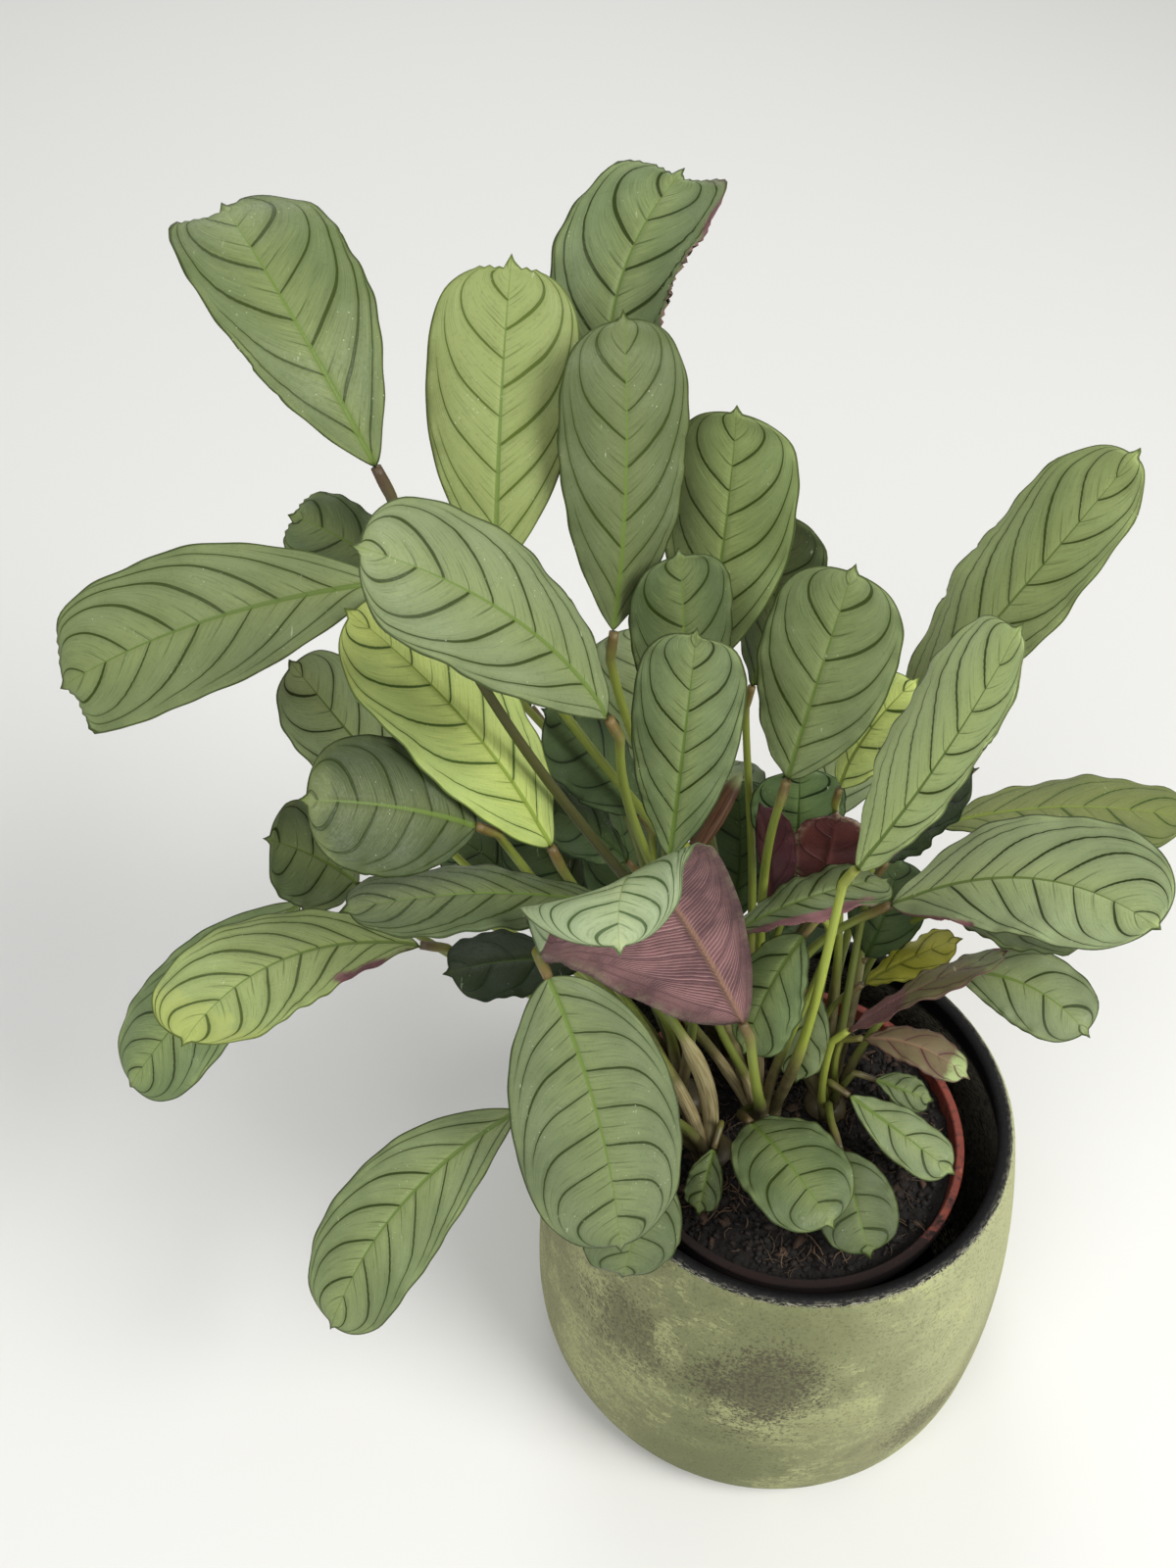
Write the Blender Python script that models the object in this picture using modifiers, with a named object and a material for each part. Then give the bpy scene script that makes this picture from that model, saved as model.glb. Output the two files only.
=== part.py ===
"""Potted ctenanthe: a leafy house plant in a nursery pot that stands in a cover pot.

Metres, +Z up. The origin is the centre of the cover pot's underside, which stands on z = 0.
Run with: blender --background --python part.py
"""

import math
from collections import namedtuple

import bmesh
import bpy
import numpy as np

OBJECT_NAME = "potted_ctenanthe"
TOUCH_GAP = 0.0003
MERGE_DISTANCE = 0.00002

# The cover pot: a round belly that narrows to the rim, open at the top.
POT_HEIGHT = 0.175
POT_RIM_RADIUS = 0.095
POT_BELLY_RADIUS = 0.1115
POT_BELLY_HEIGHT = 0.045
POT_FOOT_RADIUS = 0.098
POT_FOOT_ROUNDNESS = 4
POT_FOOT_FULLNESS = 0.55
POT_NARROWING = 1.9
POT_WALL = 0.007
POT_FLOOR = 0.010
POT_INNER_CURVE = 0.012
POT_RINGS = 6
POT_FOOT_RING_HEIGHTS = (0.026, 0.012, 0.004)
POT_SEGMENTS = 40

# The nursery pot: thin walls with a taper, a lip, and drain holes in the floor.
NURSERY_CENTRE = (0.0, -0.006)
NURSERY_TOP = 0.163
NURSERY_LIP_RADIUS = 0.075
NURSERY_LIP_HEIGHT = 0.010
NURSERY_LIP_STEP = 0.002
NURSERY_BASE_RADIUS = 0.056
NURSERY_WALL = 0.0016
NURSERY_SEGMENTS = 28
DRAIN_HOLES = 5
DRAIN_RADIUS = 0.005
DRAIN_RING_RADIUS = 0.034
DRAIN_SIDES = 10

# The soil fills the nursery pot to just under its lip.
SOIL_TOP = 0.156
SOIL_BUMP = 0.0022
SOIL_RINGS = 5

# Crowns: the short thick root ends that stand in the soil, one for each clump of stems.
CROWN_RADIUS = 0.010
CROWN_FOOT = 0.125
CROWN_TOP = 0.1625
CROWN_DOME = 0.004
CROWN_SIDES = 16
CROWN_PLACES = {
    "left": (-0.046, 0.010),
    "front": (-0.035, -0.017),
    "middle": (-0.012, 0.007),
    "back": (-0.023, 0.034),
    "right": (0.016, 0.009),
}

# Leaf stalks: thick at the crown, thin at the blade, with the blade's joint straight on behind it.
STALK_START_HEIGHT = 0.154
STALK_START_OFFSET = 0.0042
STALK_JOINT_LENGTH = 0.010
STALK_END_GAP = 0.0004
STALK_POINT_SPACING = 0.040
STALK_TAPER = 1.8
STALK_TAPER_CURVE = 1.3
STALK_RISE = 0.45
STALK_LEAN = 0.10
STALK_SETTLE = 0.28
STALK_STRAIGHTNESS = 1.2
STALK_THICKNESS = 0.0011
STALK_THICKNESS_PER_WIDTH = 0.015

# Blades: 0.8 mm thick, widest past the middle, blunt at the tip. Each pair goes from slim to plump.
BLADE_THICKNESS = 0.0008
BLADE_WIDEST = (0.61, 0.54)
BLADE_BASE_ROUNDNESS = 1.9
BLADE_BASE_FULLNESS = (0.88, 0.62)
BLADE_TIP_ROUNDNESS = (3.8, 3.0)
BLADE_TIP_FULLNESS = 0.46
BLADE_WAVE = 0.0010
BLADE_WAVES = 2.5
BLADE_WAVE_SHIFT = 0.37
BLADE_COLUMNS = 4
BLADE_STEP = 0.001
LONG_BLADE = 0.085
SHORT_BLADE = 0.058

SILVER_GREEN = (0.30, 0.38, 0.22)
DEEP_GREEN = (0.16, 0.23, 0.11)
YELLOW_GREEN = (0.52, 0.57, 0.19)
PURPLE = (0.23, 0.12, 0.14)
RED_BROWN = (0.20, 0.08, 0.07)
STALK_GREEN = (0.30, 0.35, 0.13)
POT_GREEN = (0.30, 0.32, 0.17)
TERRACOTTA = (0.32, 0.12, 0.07)
PEAT = (0.03, 0.022, 0.016)

Leaf = namedtuple(
    "Leaf", "name clump foot heading rise reach width arch sway roll "
    "cup plump lean peak face tilt bend"
)


def leaf(name, clump, foot, heading, rise, reach, width, arch, sway, roll,
         cup=-0.1, plump=0, lean=0, peak=0.5, face=None, tilt=0, bend=(0, 0, 0)):
    """One leaf. Its midrib starts at foot and ends reach away, towards heading and up by rise (degrees).

    arch lifts the middle of the midrib, sway pushes it sideways, and peak moves that bow along it.
    roll turns the blade about the midrib, and cup bends its two halves up or, below zero, down.
    plump is 1 for a round base and 0 for a slim one, and lean makes the right half wider.
    face and tilt set the direction across the blade where the leaf folds over.
    bend pushes the middle of its stalk aside.
    """
    return Leaf(name, clump, foot, heading, rise, reach, width, arch, sway, roll,
                cup, plump, lean, peak, face, tilt, bend)


# The rolled young leaf that stands among the middle stems, not yet open, is joined to them.
SPEAR = leaf("spear", "middle", (-0.057, 0.020, 0.309), 19, 68, 0.048, 0.0084,
             arch=0.0, sway=0.0, roll=0, bend=(0, 0.015, 0))
SPEAR_SWELLING = ((0.25, 0.85), (0.55, 1.0), (0.85, 0.7), (1.0, 0.2))
SPEAR_STALK_RADIUS = 0.0019

LEAVES = (
    leaf("upper_left", "back", (-0.163, 0.020, 0.487), 130, 33, 0.096, 0.049,
         arch=0.016, sway=-0.005, roll=3, cup=0, lean=0.12, bend=(0, -0.03, -0.02)),
    leaf("upper_mid_left", "back", (-0.129, 0.035, 0.434), 87, 57, 0.102, 0.049,
         arch=0.004, sway=-0.001, roll=-5, bend=(0.03, 0, -0.02)),
    leaf("top_back", "back", (-0.092, 0.090, 0.458), 67, 50, 0.088, 0.052,
         arch=0.012, sway=-0.006, roll=10, cup=0.15),
    leaf("top_centre", "middle", (-0.089, 0.030, 0.416), 92, 66, 0.105, 0.045,
         arch=0.002, sway=0.002, roll=-20, bend=(0.0075, 0, 0)),
    leaf("big_silver", "middle", (-0.090, -0.020, 0.424), 194, 47, 0.109, 0.045,
         arch=0.008, sway=0.006, roll=38, bend=(-0.0225, 0.0075, 0)),
    leaf("far_left", "left", (-0.166, 0.036, 0.429), 191, -17, 0.119, 0.051,
         arch=0.014, sway=0.003, roll=37, cup=0.15, bend=(0, 0.0225, 0)),
    leaf("back_left_small", "back", (-0.166, 0.085, 0.386), 165, 25, 0.054, 0.033,
         arch=0.005, sway=0.001, roll=19, bend=(-0.0075, 0.015, 0)),
    leaf("yellow_mid", "front", (-0.108, -0.010, 0.350), 157, 47, 0.111, 0.050,
         arch=0.008, sway=0.002, roll=7, cup=0, plump=0.5, bend=(0.015, 0, -0.02)),
    leaf("dark_left", "left", (-0.168, 0.045, 0.312), 178, 62, 0.080, 0.039,
         arch=0.002, sway=-0.001, roll=31, plump=0.6, bend=(0, 0.0075, -0.02)),
    leaf("round_left", "front", (-0.133, -0.020, 0.371), 199, 28, 0.065, 0.046,
         arch=0.003, sway=0.002, roll=38, plump=1, bend=(-0.015, 0.015, -0.02)),
    leaf("under_round", "left", (-0.186, 0.026, 0.280), 200, 50, 0.052, 0.042,
         arch=0.002, sway=0.002, roll=34, plump=1, bend=(0, 0, -0.02)),
    leaf("low_back_left", "left", (-0.210, 0.026, 0.268), 204, -46, 0.124, 0.047,
         arch=0.007, sway=0.002, roll=26),
    leaf("yellow_tip", "left", (-0.157, -0.010, 0.290), 220, 12, 0.100, 0.051,
         arch=0.004, sway=0.016, roll=-4, cup=0.05, bend=(0, 0, -0.02)),
    leaf("flat_mid_left", "left", (-0.083, -0.028, 0.341), 194, 12, 0.098, 0.040,
         arch=0.005, sway=0.002, roll=-16, bend=(0, -0.0075, 0)),
    leaf("purple_back", "middle", (-0.034, -0.030, 0.275), 222, 56, 0.120, 0.067,
         arch=0.023, sway=0.020, roll=0, plump=1.2, lean=0.30, peak=1.18, face=290, tilt=-25,
         bend=(0, -0.0075, -0.02)),
    leaf("dark_low_left", "left", (-0.094, -0.010, 0.282), 195, 9, 0.056, 0.032,
         arch=0.003, sway=0.002, roll=-2),
    leaf("front_big", "front", (-0.107, -0.050, 0.328), 302, -62, 0.120, 0.062,
         arch=0.003, sway=-0.004, roll=-11, cup=-0.2, plump=1, bend=(0, 0, -0.02)),
    leaf("low_left", "front", (-0.117, -0.060, 0.257), 216, -43, 0.120, 0.046,
         arch=0.006, sway=0.009, roll=12, cup=0, bend=(-0.0075, 0, -0.02)),
    leaf("over_rim", "front", (-0.075, -0.060, 0.232), 270, -67, 0.064, 0.039,
         arch=0.005, sway=-0.003, roll=4, plump=0.6, bend=(0, -0.0075, 0)),
    leaf("small_by_stems", "front", (-0.038, -0.035, 0.191), 255, -40, 0.029, 0.016,
         arch=0.002, sway=0.000, roll=-8),
    leaf("in_pot_front", "middle", (-0.022, -0.020, 0.188), 300, 8, 0.062, 0.044,
         arch=0.009, sway=0.001, roll=-4, cup=0, plump=1),
    leaf("in_pot_behind", "right", (0.014, -0.036, 0.194), 288, -27, 0.044, 0.033,
         arch=0.003, sway=0.000, roll=-14, plump=1),
    leaf("in_pot_right", "right", (0.021, -0.006, 0.189), 325, -11, 0.054, 0.023,
         arch=0.002, sway=0.000, roll=-15),
    leaf("in_pot_small", "right", (0.032, 0.000, 0.193), 0, -30, 0.032, 0.016,
         arch=0.001, sway=0.000, roll=-20, bend=(0, 0, -0.02)),
    leaf("young_purple", "right", (0.015, 0.000, 0.229), 14, 32, 0.073, 0.026,
         arch=0.006, sway=0.008, roll=37, bend=(0, -0.0075, -0.02)),
    leaf("olive_roll", "right", (0.024, 0.026, 0.226), 8, 36, 0.047, 0.024,
         arch=0.002, sway=0.000, roll=16, bend=(-0.0075, 0, 0)),
    leaf("young_pink", "right", (0.025, 0.010, 0.209), 333, 5, 0.048, 0.020,
         arch=0.007, sway=-0.002, roll=-4, bend=(0, -0.0075, 0)),
    leaf("right_lower", "right", (0.060, 0.022, 0.242), 327, 2, 0.059, 0.034,
         arch=0.006, sway=-0.007, roll=-24, plump=0.6),
    leaf("right_big", "right", (0.028, 0.030, 0.275), 322, 34, 0.118, 0.056,
         arch=0.003, sway=-0.016, roll=-18, cup=0.15, plump=0.6, bend=(-0.03, 0, 0)),
    leaf("right_back", "right", (0.051, 0.070, 0.279), 348, 18, 0.102, 0.048,
         arch=0.005, sway=-0.005, roll=8, cup=-0.15, bend=(-0.0075, 0.0075, -0.02)),
    leaf("right_upper", "right", (0.020, 0.050, 0.356), 16, 61, 0.132, 0.053,
         arch=0.006, sway=0.006, roll=-3, plump=0.8, lean=-0.25, bend=(0.015, 0.0225, -0.02)),
    leaf("right_mid", "middle", (0.000, -0.010, 0.344), 18, 70, 0.114, 0.049,
         arch=0.002, sway=0.006, roll=4, plump=0.8, lean=-0.42, bend=(0.0075, -0.0075, -0.02)),
    leaf("centre_right", "middle", (-0.026, 0.010, 0.367), 55, 74, 0.086, 0.047,
         arch=0.005, sway=0.001, roll=-5, bend=(0, 0.03, -0.02)),
    leaf("yellow_small", "right", (0.000, 0.040, 0.332), 26, 62, 0.056, 0.030,
         arch=0.008, sway=0.001, roll=-3, bend=(0.0075, 0.03, 0)),
    leaf("centre_front", "middle", (-0.066, -0.010, 0.346), 78, 83, 0.099, 0.037,
         arch=-0.002, sway=0.000, roll=-3, bend=(-0.0225, 0.0075, -0.02)),
    leaf("behind_centre", "back", (-0.065, 0.032, 0.372), 118, 83, 0.074, 0.037,
         arch=0.004, sway=0.001, roll=10, bend=(-0.0075, 0, 0)),
    leaf("back_right_tall", "back", (-0.056, 0.050, 0.380), 80, 74, 0.100, 0.047,
         arch=-0.002, sway=0.001, roll=12, cup=-0.15, bend=(-0.0225, 0, -0.02)),
    leaf("edge_behind", "back", (-0.033, 0.080, 0.346), 67, 72, 0.074, 0.038,
         arch=0.001, sway=0.002, roll=20, bend=(0.0075, 0, 0)),
    leaf("dark_small", "back", (-0.009, 0.052, 0.277), 104, 74, 0.045, 0.039,
         arch=0.002, sway=0.000, roll=10, plump=1),
    leaf("red_back", "back", (0.002, 0.047, 0.263), 262, 82, 0.059, 0.031,
         arch=-0.003, sway=0.000, roll=0, plump=0.5),
    leaf("red_flap", "back", (-0.0185, 0.0355, 0.262), 180, 80, 0.066, 0.015,
         arch=0.000, sway=0.001, roll=88, plump=1, lean=0.5, bend=(0, 0.0225, 0)),
    leaf("silver_purple", "middle", (-0.037, 0.006, 0.284), 15, 15, 0.065, 0.037,
         arch=0.008, sway=0.006, roll=24, lean=-0.12, bend=(0, -0.015, 0)),
    leaf("silver_hanging", "middle", (-0.011, 0.000, 0.292), 226, -64, 0.061, 0.034,
         arch=0.002, sway=0.002, roll=-9, cup=-0.15, plump=0.5, bend=(-0.0075, -0.0075, 0)),
    leaf("inner_right", "right", (0.005, 0.020, 0.226), 250, -66, 0.046, 0.020,
         arch=0.001, sway=0.000, roll=16, bend=(-0.0075, 0, -0.02)),
    leaf("under_right", "right", (0.055, 0.030, 0.269), 338, 17, 0.056, 0.034,
         arch=0.001, sway=0.002, roll=20, bend=(0, 0.0225, -0.02)),
    leaf("dark_centre", "left", (-0.075, 0.032, 0.322), 180, 55, 0.067, 0.038,
         arch=0.002, sway=0.002, roll=24, bend=(-0.0075, -0.0075, 0)),
    leaf("shade_a", "left", (-0.079, 0.030, 0.296), 180, 42, 0.049, 0.030,
         arch=0.002, sway=0.002, roll=9, bend=(0.0075, 0, 0)),
    leaf("behind_mid", "right", (0.025, 0.040, 0.290), 0, 66, 0.062, 0.034,
         arch=0.002, sway=0.000, roll=10, bend=(0, 0, 0.02)),
    leaf("rear_left", "back", (-0.120, 0.085, 0.325), 146, 18, 0.098, 0.048,
         arch=0.009, sway=0.002, roll=4, bend=(-0.0225, 0, -0.02)),
    leaf("rear_middle", "back", (-0.065, 0.095, 0.260), 98, 12, 0.096, 0.047,
         arch=0.010, sway=0.000, roll=0, bend=(-0.0075, 0, -0.02)),
    leaf("rear_right", "back", (0.005, 0.095, 0.245), 58, 14, 0.094, 0.046,
         arch=0.009, sway=-0.002, roll=-4),
    leaf("rear_low", "back", (-0.040, 0.080, 0.235), 84, -12, 0.088, 0.043,
         arch=0.010, sway=0.001, roll=3, bend=(0, 0, -0.02)),
)

BLADE_COLOURS = {
    "yellow_mid": YELLOW_GREEN, "upper_mid_left": YELLOW_GREEN, "yellow_small": YELLOW_GREEN,
    "right_back": YELLOW_GREEN, "olive_roll": YELLOW_GREEN, "purple_back": PURPLE,
    "young_purple": PURPLE, "young_pink": PURPLE, "red_back": RED_BROWN, "red_flap": RED_BROWN,
    "dark_left": DEEP_GREEN, "dark_low_left": DEEP_GREEN, "dark_small": DEEP_GREEN,
    "dark_centre": DEEP_GREEN, "shade_a": DEEP_GREEN, "behind_mid": DEEP_GREEN,
}


def clear_scene():
    """Remove what the scene starts with."""
    for item in list(bpy.data.objects):
        bpy.data.objects.remove(item, do_unlink=True)


def make_collection(name):
    group = bpy.data.collections.new(name)
    bpy.context.scene.collection.children.link(group)
    return group


def make_material(name, colour, roughness):
    material = bpy.data.materials.new(name)
    material.use_nodes = True
    shader = material.node_tree.nodes["Principled BSDF"]
    shader.inputs["Base Color"].default_value = (*colour, 1.0)
    shader.inputs["Roughness"].default_value = roughness
    shader.inputs["Metallic"].default_value = 0.0
    return material


def add_object(name, data, group):
    item = bpy.data.objects.new(name, data)
    group.objects.link(item)
    return item


def baked_mesh(item, name):
    """The object's evaluated mesh, with its modifiers and its place in it."""
    evaluated = item.evaluated_get(bpy.context.evaluated_depsgraph_get())
    mesh = bpy.data.meshes.new_from_object(evaluated)
    mesh.name = name
    mesh.transform(item.matrix_world)
    return mesh


def remove_object(item):
    data = item.data
    bpy.data.objects.remove(item, do_unlink=True)
    if data.users == 0 and isinstance(data, bpy.types.Curve):
        bpy.data.curves.remove(data)
    elif data.users == 0:
        bpy.data.meshes.remove(data)


def unit(vectors):
    return vectors / np.linalg.norm(vectors, axis=-1, keepdims=True)


# Turned pieces


def turned(name, profile, segments, centre, group):
    """A solid turned about the vertical axis through centre, from (radius, height) points."""
    mesh = bpy.data.meshes.new(name + "_profile")
    points = [(radius, 0.0, height) for radius, height in profile]
    edges = [(i, i + 1) for i in range(len(points) - 1)]
    mesh.from_pydata(points, edges, [])
    item = add_object(name, mesh, group)
    item.location = (centre[0], centre[1], 0.0)
    screw = item.modifiers.new("turn", "SCREW")
    screw.steps = segments
    screw.render_steps = segments
    screw.use_merge_vertices = True
    screw.merge_threshold = MERGE_DISTANCE
    screw.use_smooth_shade = True
    return item


def pot_outer_radius(height):
    """The cover pot's outer radius: a full round foot, then a slow narrowing to the rim."""
    if height < POT_BELLY_HEIGHT:
        swell = (1 - (1 - height / POT_BELLY_HEIGHT) ** POT_FOOT_ROUNDNESS) ** POT_FOOT_FULLNESS
        return POT_FOOT_RADIUS + (POT_BELLY_RADIUS - POT_FOOT_RADIUS) * swell
    rise = (height - POT_BELLY_HEIGHT) / (POT_HEIGHT - POT_BELLY_HEIGHT)
    return POT_BELLY_RADIUS - (POT_BELLY_RADIUS - POT_RIM_RADIUS) * rise ** POT_NARROWING


def cover_pot_profile():
    lip = POT_WALL / 2
    rim_height = POT_HEIGHT - lip
    inner_heights = np.linspace(POT_FLOOR + POT_INNER_CURVE, rim_height, POT_RINGS)
    outer_heights = [*np.linspace(rim_height, POT_BELLY_HEIGHT, POT_RINGS), *POT_FOOT_RING_HEIGHTS]
    profile = [(0.0, POT_FLOOR), (pot_outer_radius(0.0) - 2 * POT_WALL, POT_FLOOR)]
    profile += [(pot_outer_radius(height) - POT_WALL, height) for height in inner_heights]
    for angle in np.radians((135, 90, 45)):
        radius = POT_RIM_RADIUS - lip + lip * math.cos(angle)
        profile.append((radius, rim_height + lip * math.sin(angle)))
    profile += [(pot_outer_radius(height), height) for height in outer_heights]
    profile += [(POT_FOOT_RADIUS, 0.0), (0.0, 0.0)]
    return profile


def nursery_base():
    return POT_FLOOR + TOUCH_GAP


def nursery_outer_radius(height):
    """Outer radius of the tapered wall below the lip."""
    top_radius = NURSERY_LIP_RADIUS - NURSERY_LIP_STEP
    rise = (height - nursery_base()) / (NURSERY_TOP - nursery_base())
    return NURSERY_BASE_RADIUS + (top_radius - NURSERY_BASE_RADIUS) * rise


def nursery_profile():
    base = nursery_base()
    floor = base + NURSERY_WALL
    lip_foot = NURSERY_TOP - NURSERY_LIP_HEIGHT
    return [
        (0.0, floor),
        (nursery_outer_radius(floor) - NURSERY_WALL, floor),
        (nursery_outer_radius(NURSERY_TOP) - NURSERY_WALL, NURSERY_TOP),
        (NURSERY_LIP_RADIUS, NURSERY_TOP),
        (NURSERY_LIP_RADIUS, lip_foot),
        (nursery_outer_radius(lip_foot), lip_foot),
        (nursery_outer_radius(base), base),
        (0.0, base),
    ]


def soil_profile():
    floor = nursery_base() + NURSERY_WALL + TOUCH_GAP
    inset = NURSERY_WALL + 1.05 * TOUCH_GAP
    edge = nursery_outer_radius(SOIL_TOP) - inset
    profile = [(edge * ring / SOIL_RINGS, SOIL_TOP) for ring in range(SOIL_RINGS + 1)]
    profile += [(nursery_outer_radius(floor) - inset, floor), (0.0, floor)]
    return profile


def cylinder(name, radius, low, high, sides, place, group):
    mesh = bpy.data.meshes.new(name)
    shape = bmesh.new()
    bmesh.ops.create_cone(shape, cap_ends=True, segments=sides, radius1=radius, radius2=radius,
                          depth=high - low)
    bmesh.ops.translate(shape, verts=shape.verts, vec=(place[0], place[1], (low + high) / 2))
    shape.to_mesh(mesh)
    shape.free()
    return add_object(name, mesh, group)


def cut(item, cutter):
    cutter.hide_render = True
    cutter.display_type = "WIRE"
    boolean = item.modifiers.new("cut_" + cutter.name, "BOOLEAN")
    boolean.operation = "DIFFERENCE"
    boolean.solver = "EXACT"
    boolean.object = cutter


def make_cover_pot(group):
    pot = turned("cover_pot", cover_pot_profile(), POT_SEGMENTS, (0.0, 0.0), group)
    pot.data.materials.append(make_material("cover_pot", POT_GREEN, 0.8))


def make_nursery_pot(group, cutters):
    pot = turned("nursery_pot", nursery_profile(), NURSERY_SEGMENTS, NURSERY_CENTRE, group)
    pot.data.materials.append(make_material("nursery_pot", TERRACOTTA, 0.6))
    low = nursery_base() - NURSERY_WALL
    high = nursery_base() + 2 * NURSERY_WALL
    for number in range(DRAIN_HOLES):
        angle = math.tau * number / DRAIN_HOLES
        place = (NURSERY_CENTRE[0] + DRAIN_RING_RADIUS * math.cos(angle),
                 NURSERY_CENTRE[1] + DRAIN_RING_RADIUS * math.sin(angle))
        cut(pot, cylinder(f"drain_{number}", DRAIN_RADIUS, low, high, DRAIN_SIDES, place, cutters))


def make_soil(group, cutters):
    """Soil with a lumpy top, level at its edge, and a plain hole for each crown."""
    turned_soil = turned("soil_turned", soil_profile(), NURSERY_SEGMENTS, NURSERY_CENTRE, group)
    mesh = baked_mesh(turned_soil, "soil")
    remove_object(turned_soil)
    edge = nursery_outer_radius(SOIL_TOP)
    for vertex in mesh.vertices:
        x, y, z = vertex.co
        radius = math.hypot(x - NURSERY_CENTRE[0], y - NURSERY_CENTRE[1]) / edge
        if z > SOIL_TOP - TOUCH_GAP:
            lump = math.sin(95 * x + 1.3) * math.cos(120 * y) + 0.6 * math.sin(210 * (x + y))
            vertex.co.z += SOIL_BUMP * lump * (1 - radius ** 4)
    soil = add_object("soil", mesh, group)
    soil.data.materials.append(make_material("soil", PEAT, 0.95))
    for clump, place in CROWN_PLACES.items():
        hole = cylinder(f"hole_{clump}", CROWN_RADIUS + TOUCH_GAP, CROWN_FOOT - TOUCH_GAP,
                        CROWN_TOP + CROWN_RADIUS, CROWN_SIDES, place, cutters)
        cut(soil, hole)


# Leaves


def leaf_frame(item):
    """Unit vectors along the leaf, across it to the right, and out of its upper side."""
    heading, rise, roll = np.radians((item.heading, item.rise, item.roll))
    along = np.array((math.cos(rise) * math.cos(heading), math.cos(rise) * math.sin(heading), math.sin(rise)))
    level = np.array((math.sin(heading), -math.cos(heading), 0.0))
    upper = np.cross(level, along)
    across = level * math.cos(roll) + upper * math.sin(roll)
    return along, across, upper * math.cos(roll) - level * math.sin(roll)


def blade_across(item):
    """The direction across the blade, which a folded leaf sets by itself."""
    if item.face is None:
        return leaf_frame(item)[1]
    face, tilt = np.radians((item.face, item.tilt))
    return np.array((math.sin(face) * math.cos(tilt), -math.cos(face) * math.cos(tilt), math.sin(tilt)))


def midrib(item, share):
    """Points on the midrib, share 0 at the foot and 1 at the tip."""
    along, across, upper = leaf_frame(item)
    share = np.asarray(share, float)[..., None]
    bow = share * (1 - share)
    run = 2 * bow * item.peak + share ** 2
    return np.array(item.foot) + along * item.reach * run + (upper * item.arch + across * item.sway) * 4 * bow


def between(pair, share):
    return pair[0] + (pair[1] - pair[0]) * share


def blade_fullness(item, share):
    """Half the blade's width at a share of its length, as a part of the widest half."""
    widest = between(BLADE_WIDEST, item.plump)
    to_base = np.clip((widest - share) / widest, 0, 1)
    to_tip = np.clip((share - widest) / (1 - widest), 0, 1)
    base = (1 - to_base ** BLADE_BASE_ROUNDNESS) ** between(BLADE_BASE_FULLNESS, item.plump)
    tip = (1 - to_tip ** between(BLADE_TIP_ROUNDNESS, item.plump)) ** BLADE_TIP_FULLNESS
    return np.where(share < widest, base, tip)


def blade_points(item, phase, x, y):
    """The blade's middle surface for x across and y along, both from -1 to 1 on a square.

    The square is first pressed to a disc, whose rim then becomes the leaf's outline.
    """
    disc_x = x * np.sqrt(1 - y * y / 2)
    disc_y = y * np.sqrt(1 - x * x / 2)
    chord = np.sqrt(np.maximum(1 - disc_y ** 2, 0))
    side = np.clip(disc_x / np.maximum(chord, 1e-6), -1, 1)
    share = (1 + disc_y) / 2
    half = item.width / 2
    offset = side * half * blade_fullness(item, share) * (1 + item.lean * side)
    tangent = unit(midrib(item, share + BLADE_STEP) - midrib(item, share - BLADE_STEP))
    across = blade_across(item)
    across = unit(across - (tangent @ across)[..., None] * tangent)
    normal = np.cross(across, tangent)
    turn = math.tau * (BLADE_WAVES * share + phase) + math.pi / 2 * (side > 0)
    wave = BLADE_WAVE * np.sin(turn) * side ** 2 * np.sin(math.pi * share)
    lift = item.cup * half * (offset / half) ** 2 + wave
    return midrib(item, share) + across * offset[..., None] + normal * lift[..., None]


def blade_rows(item):
    if item.reach > LONG_BLADE:
        return 8
    return 6 if item.reach > SHORT_BLADE else 5


def make_blade(item, phase, group):
    shape = bmesh.new()
    bmesh.ops.create_grid(shape, x_segments=BLADE_COLUMNS, y_segments=blade_rows(item), size=1.0)
    square = np.array([vertex.co for vertex in shape.verts])
    points = blade_points(item, phase, square[:, 0], square[:, 1])
    for vertex, point in zip(shape.verts, points):
        vertex.co = point
    bmesh.ops.triangulate(shape, faces=shape.faces)
    name = "leaf_" + item.name
    mesh = bpy.data.meshes.new(name)
    shape.to_mesh(mesh)
    shape.free()
    mesh.shade_smooth()
    blade = add_object(name, mesh, group)
    mesh.materials.append(make_material(name, BLADE_COLOURS.get(item.name, SILVER_GREEN), 0.5))
    solidify = blade.modifiers.new("thickness", "SOLIDIFY")
    solidify.thickness = BLADE_THICKNESS
    solidify.offset = 0.0


# Stems


def smooth_path(points, count):
    """count points on the cubic curve with four control points."""
    t = np.linspace(0, 1, count)[:, None]
    a, b, c, d = (np.array(point) for point in points)
    return (1 - t) ** 3 * a + 3 * t * (1 - t) ** 2 * b + 3 * t * t * (1 - t) * c + t ** 3 * d


def stalk_start(clump, target):
    crown = np.array(CROWN_PLACES[clump])
    start = crown + STALK_START_OFFSET * unit(target[:2] - crown)
    return np.array((*start, STALK_START_HEIGHT))


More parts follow.
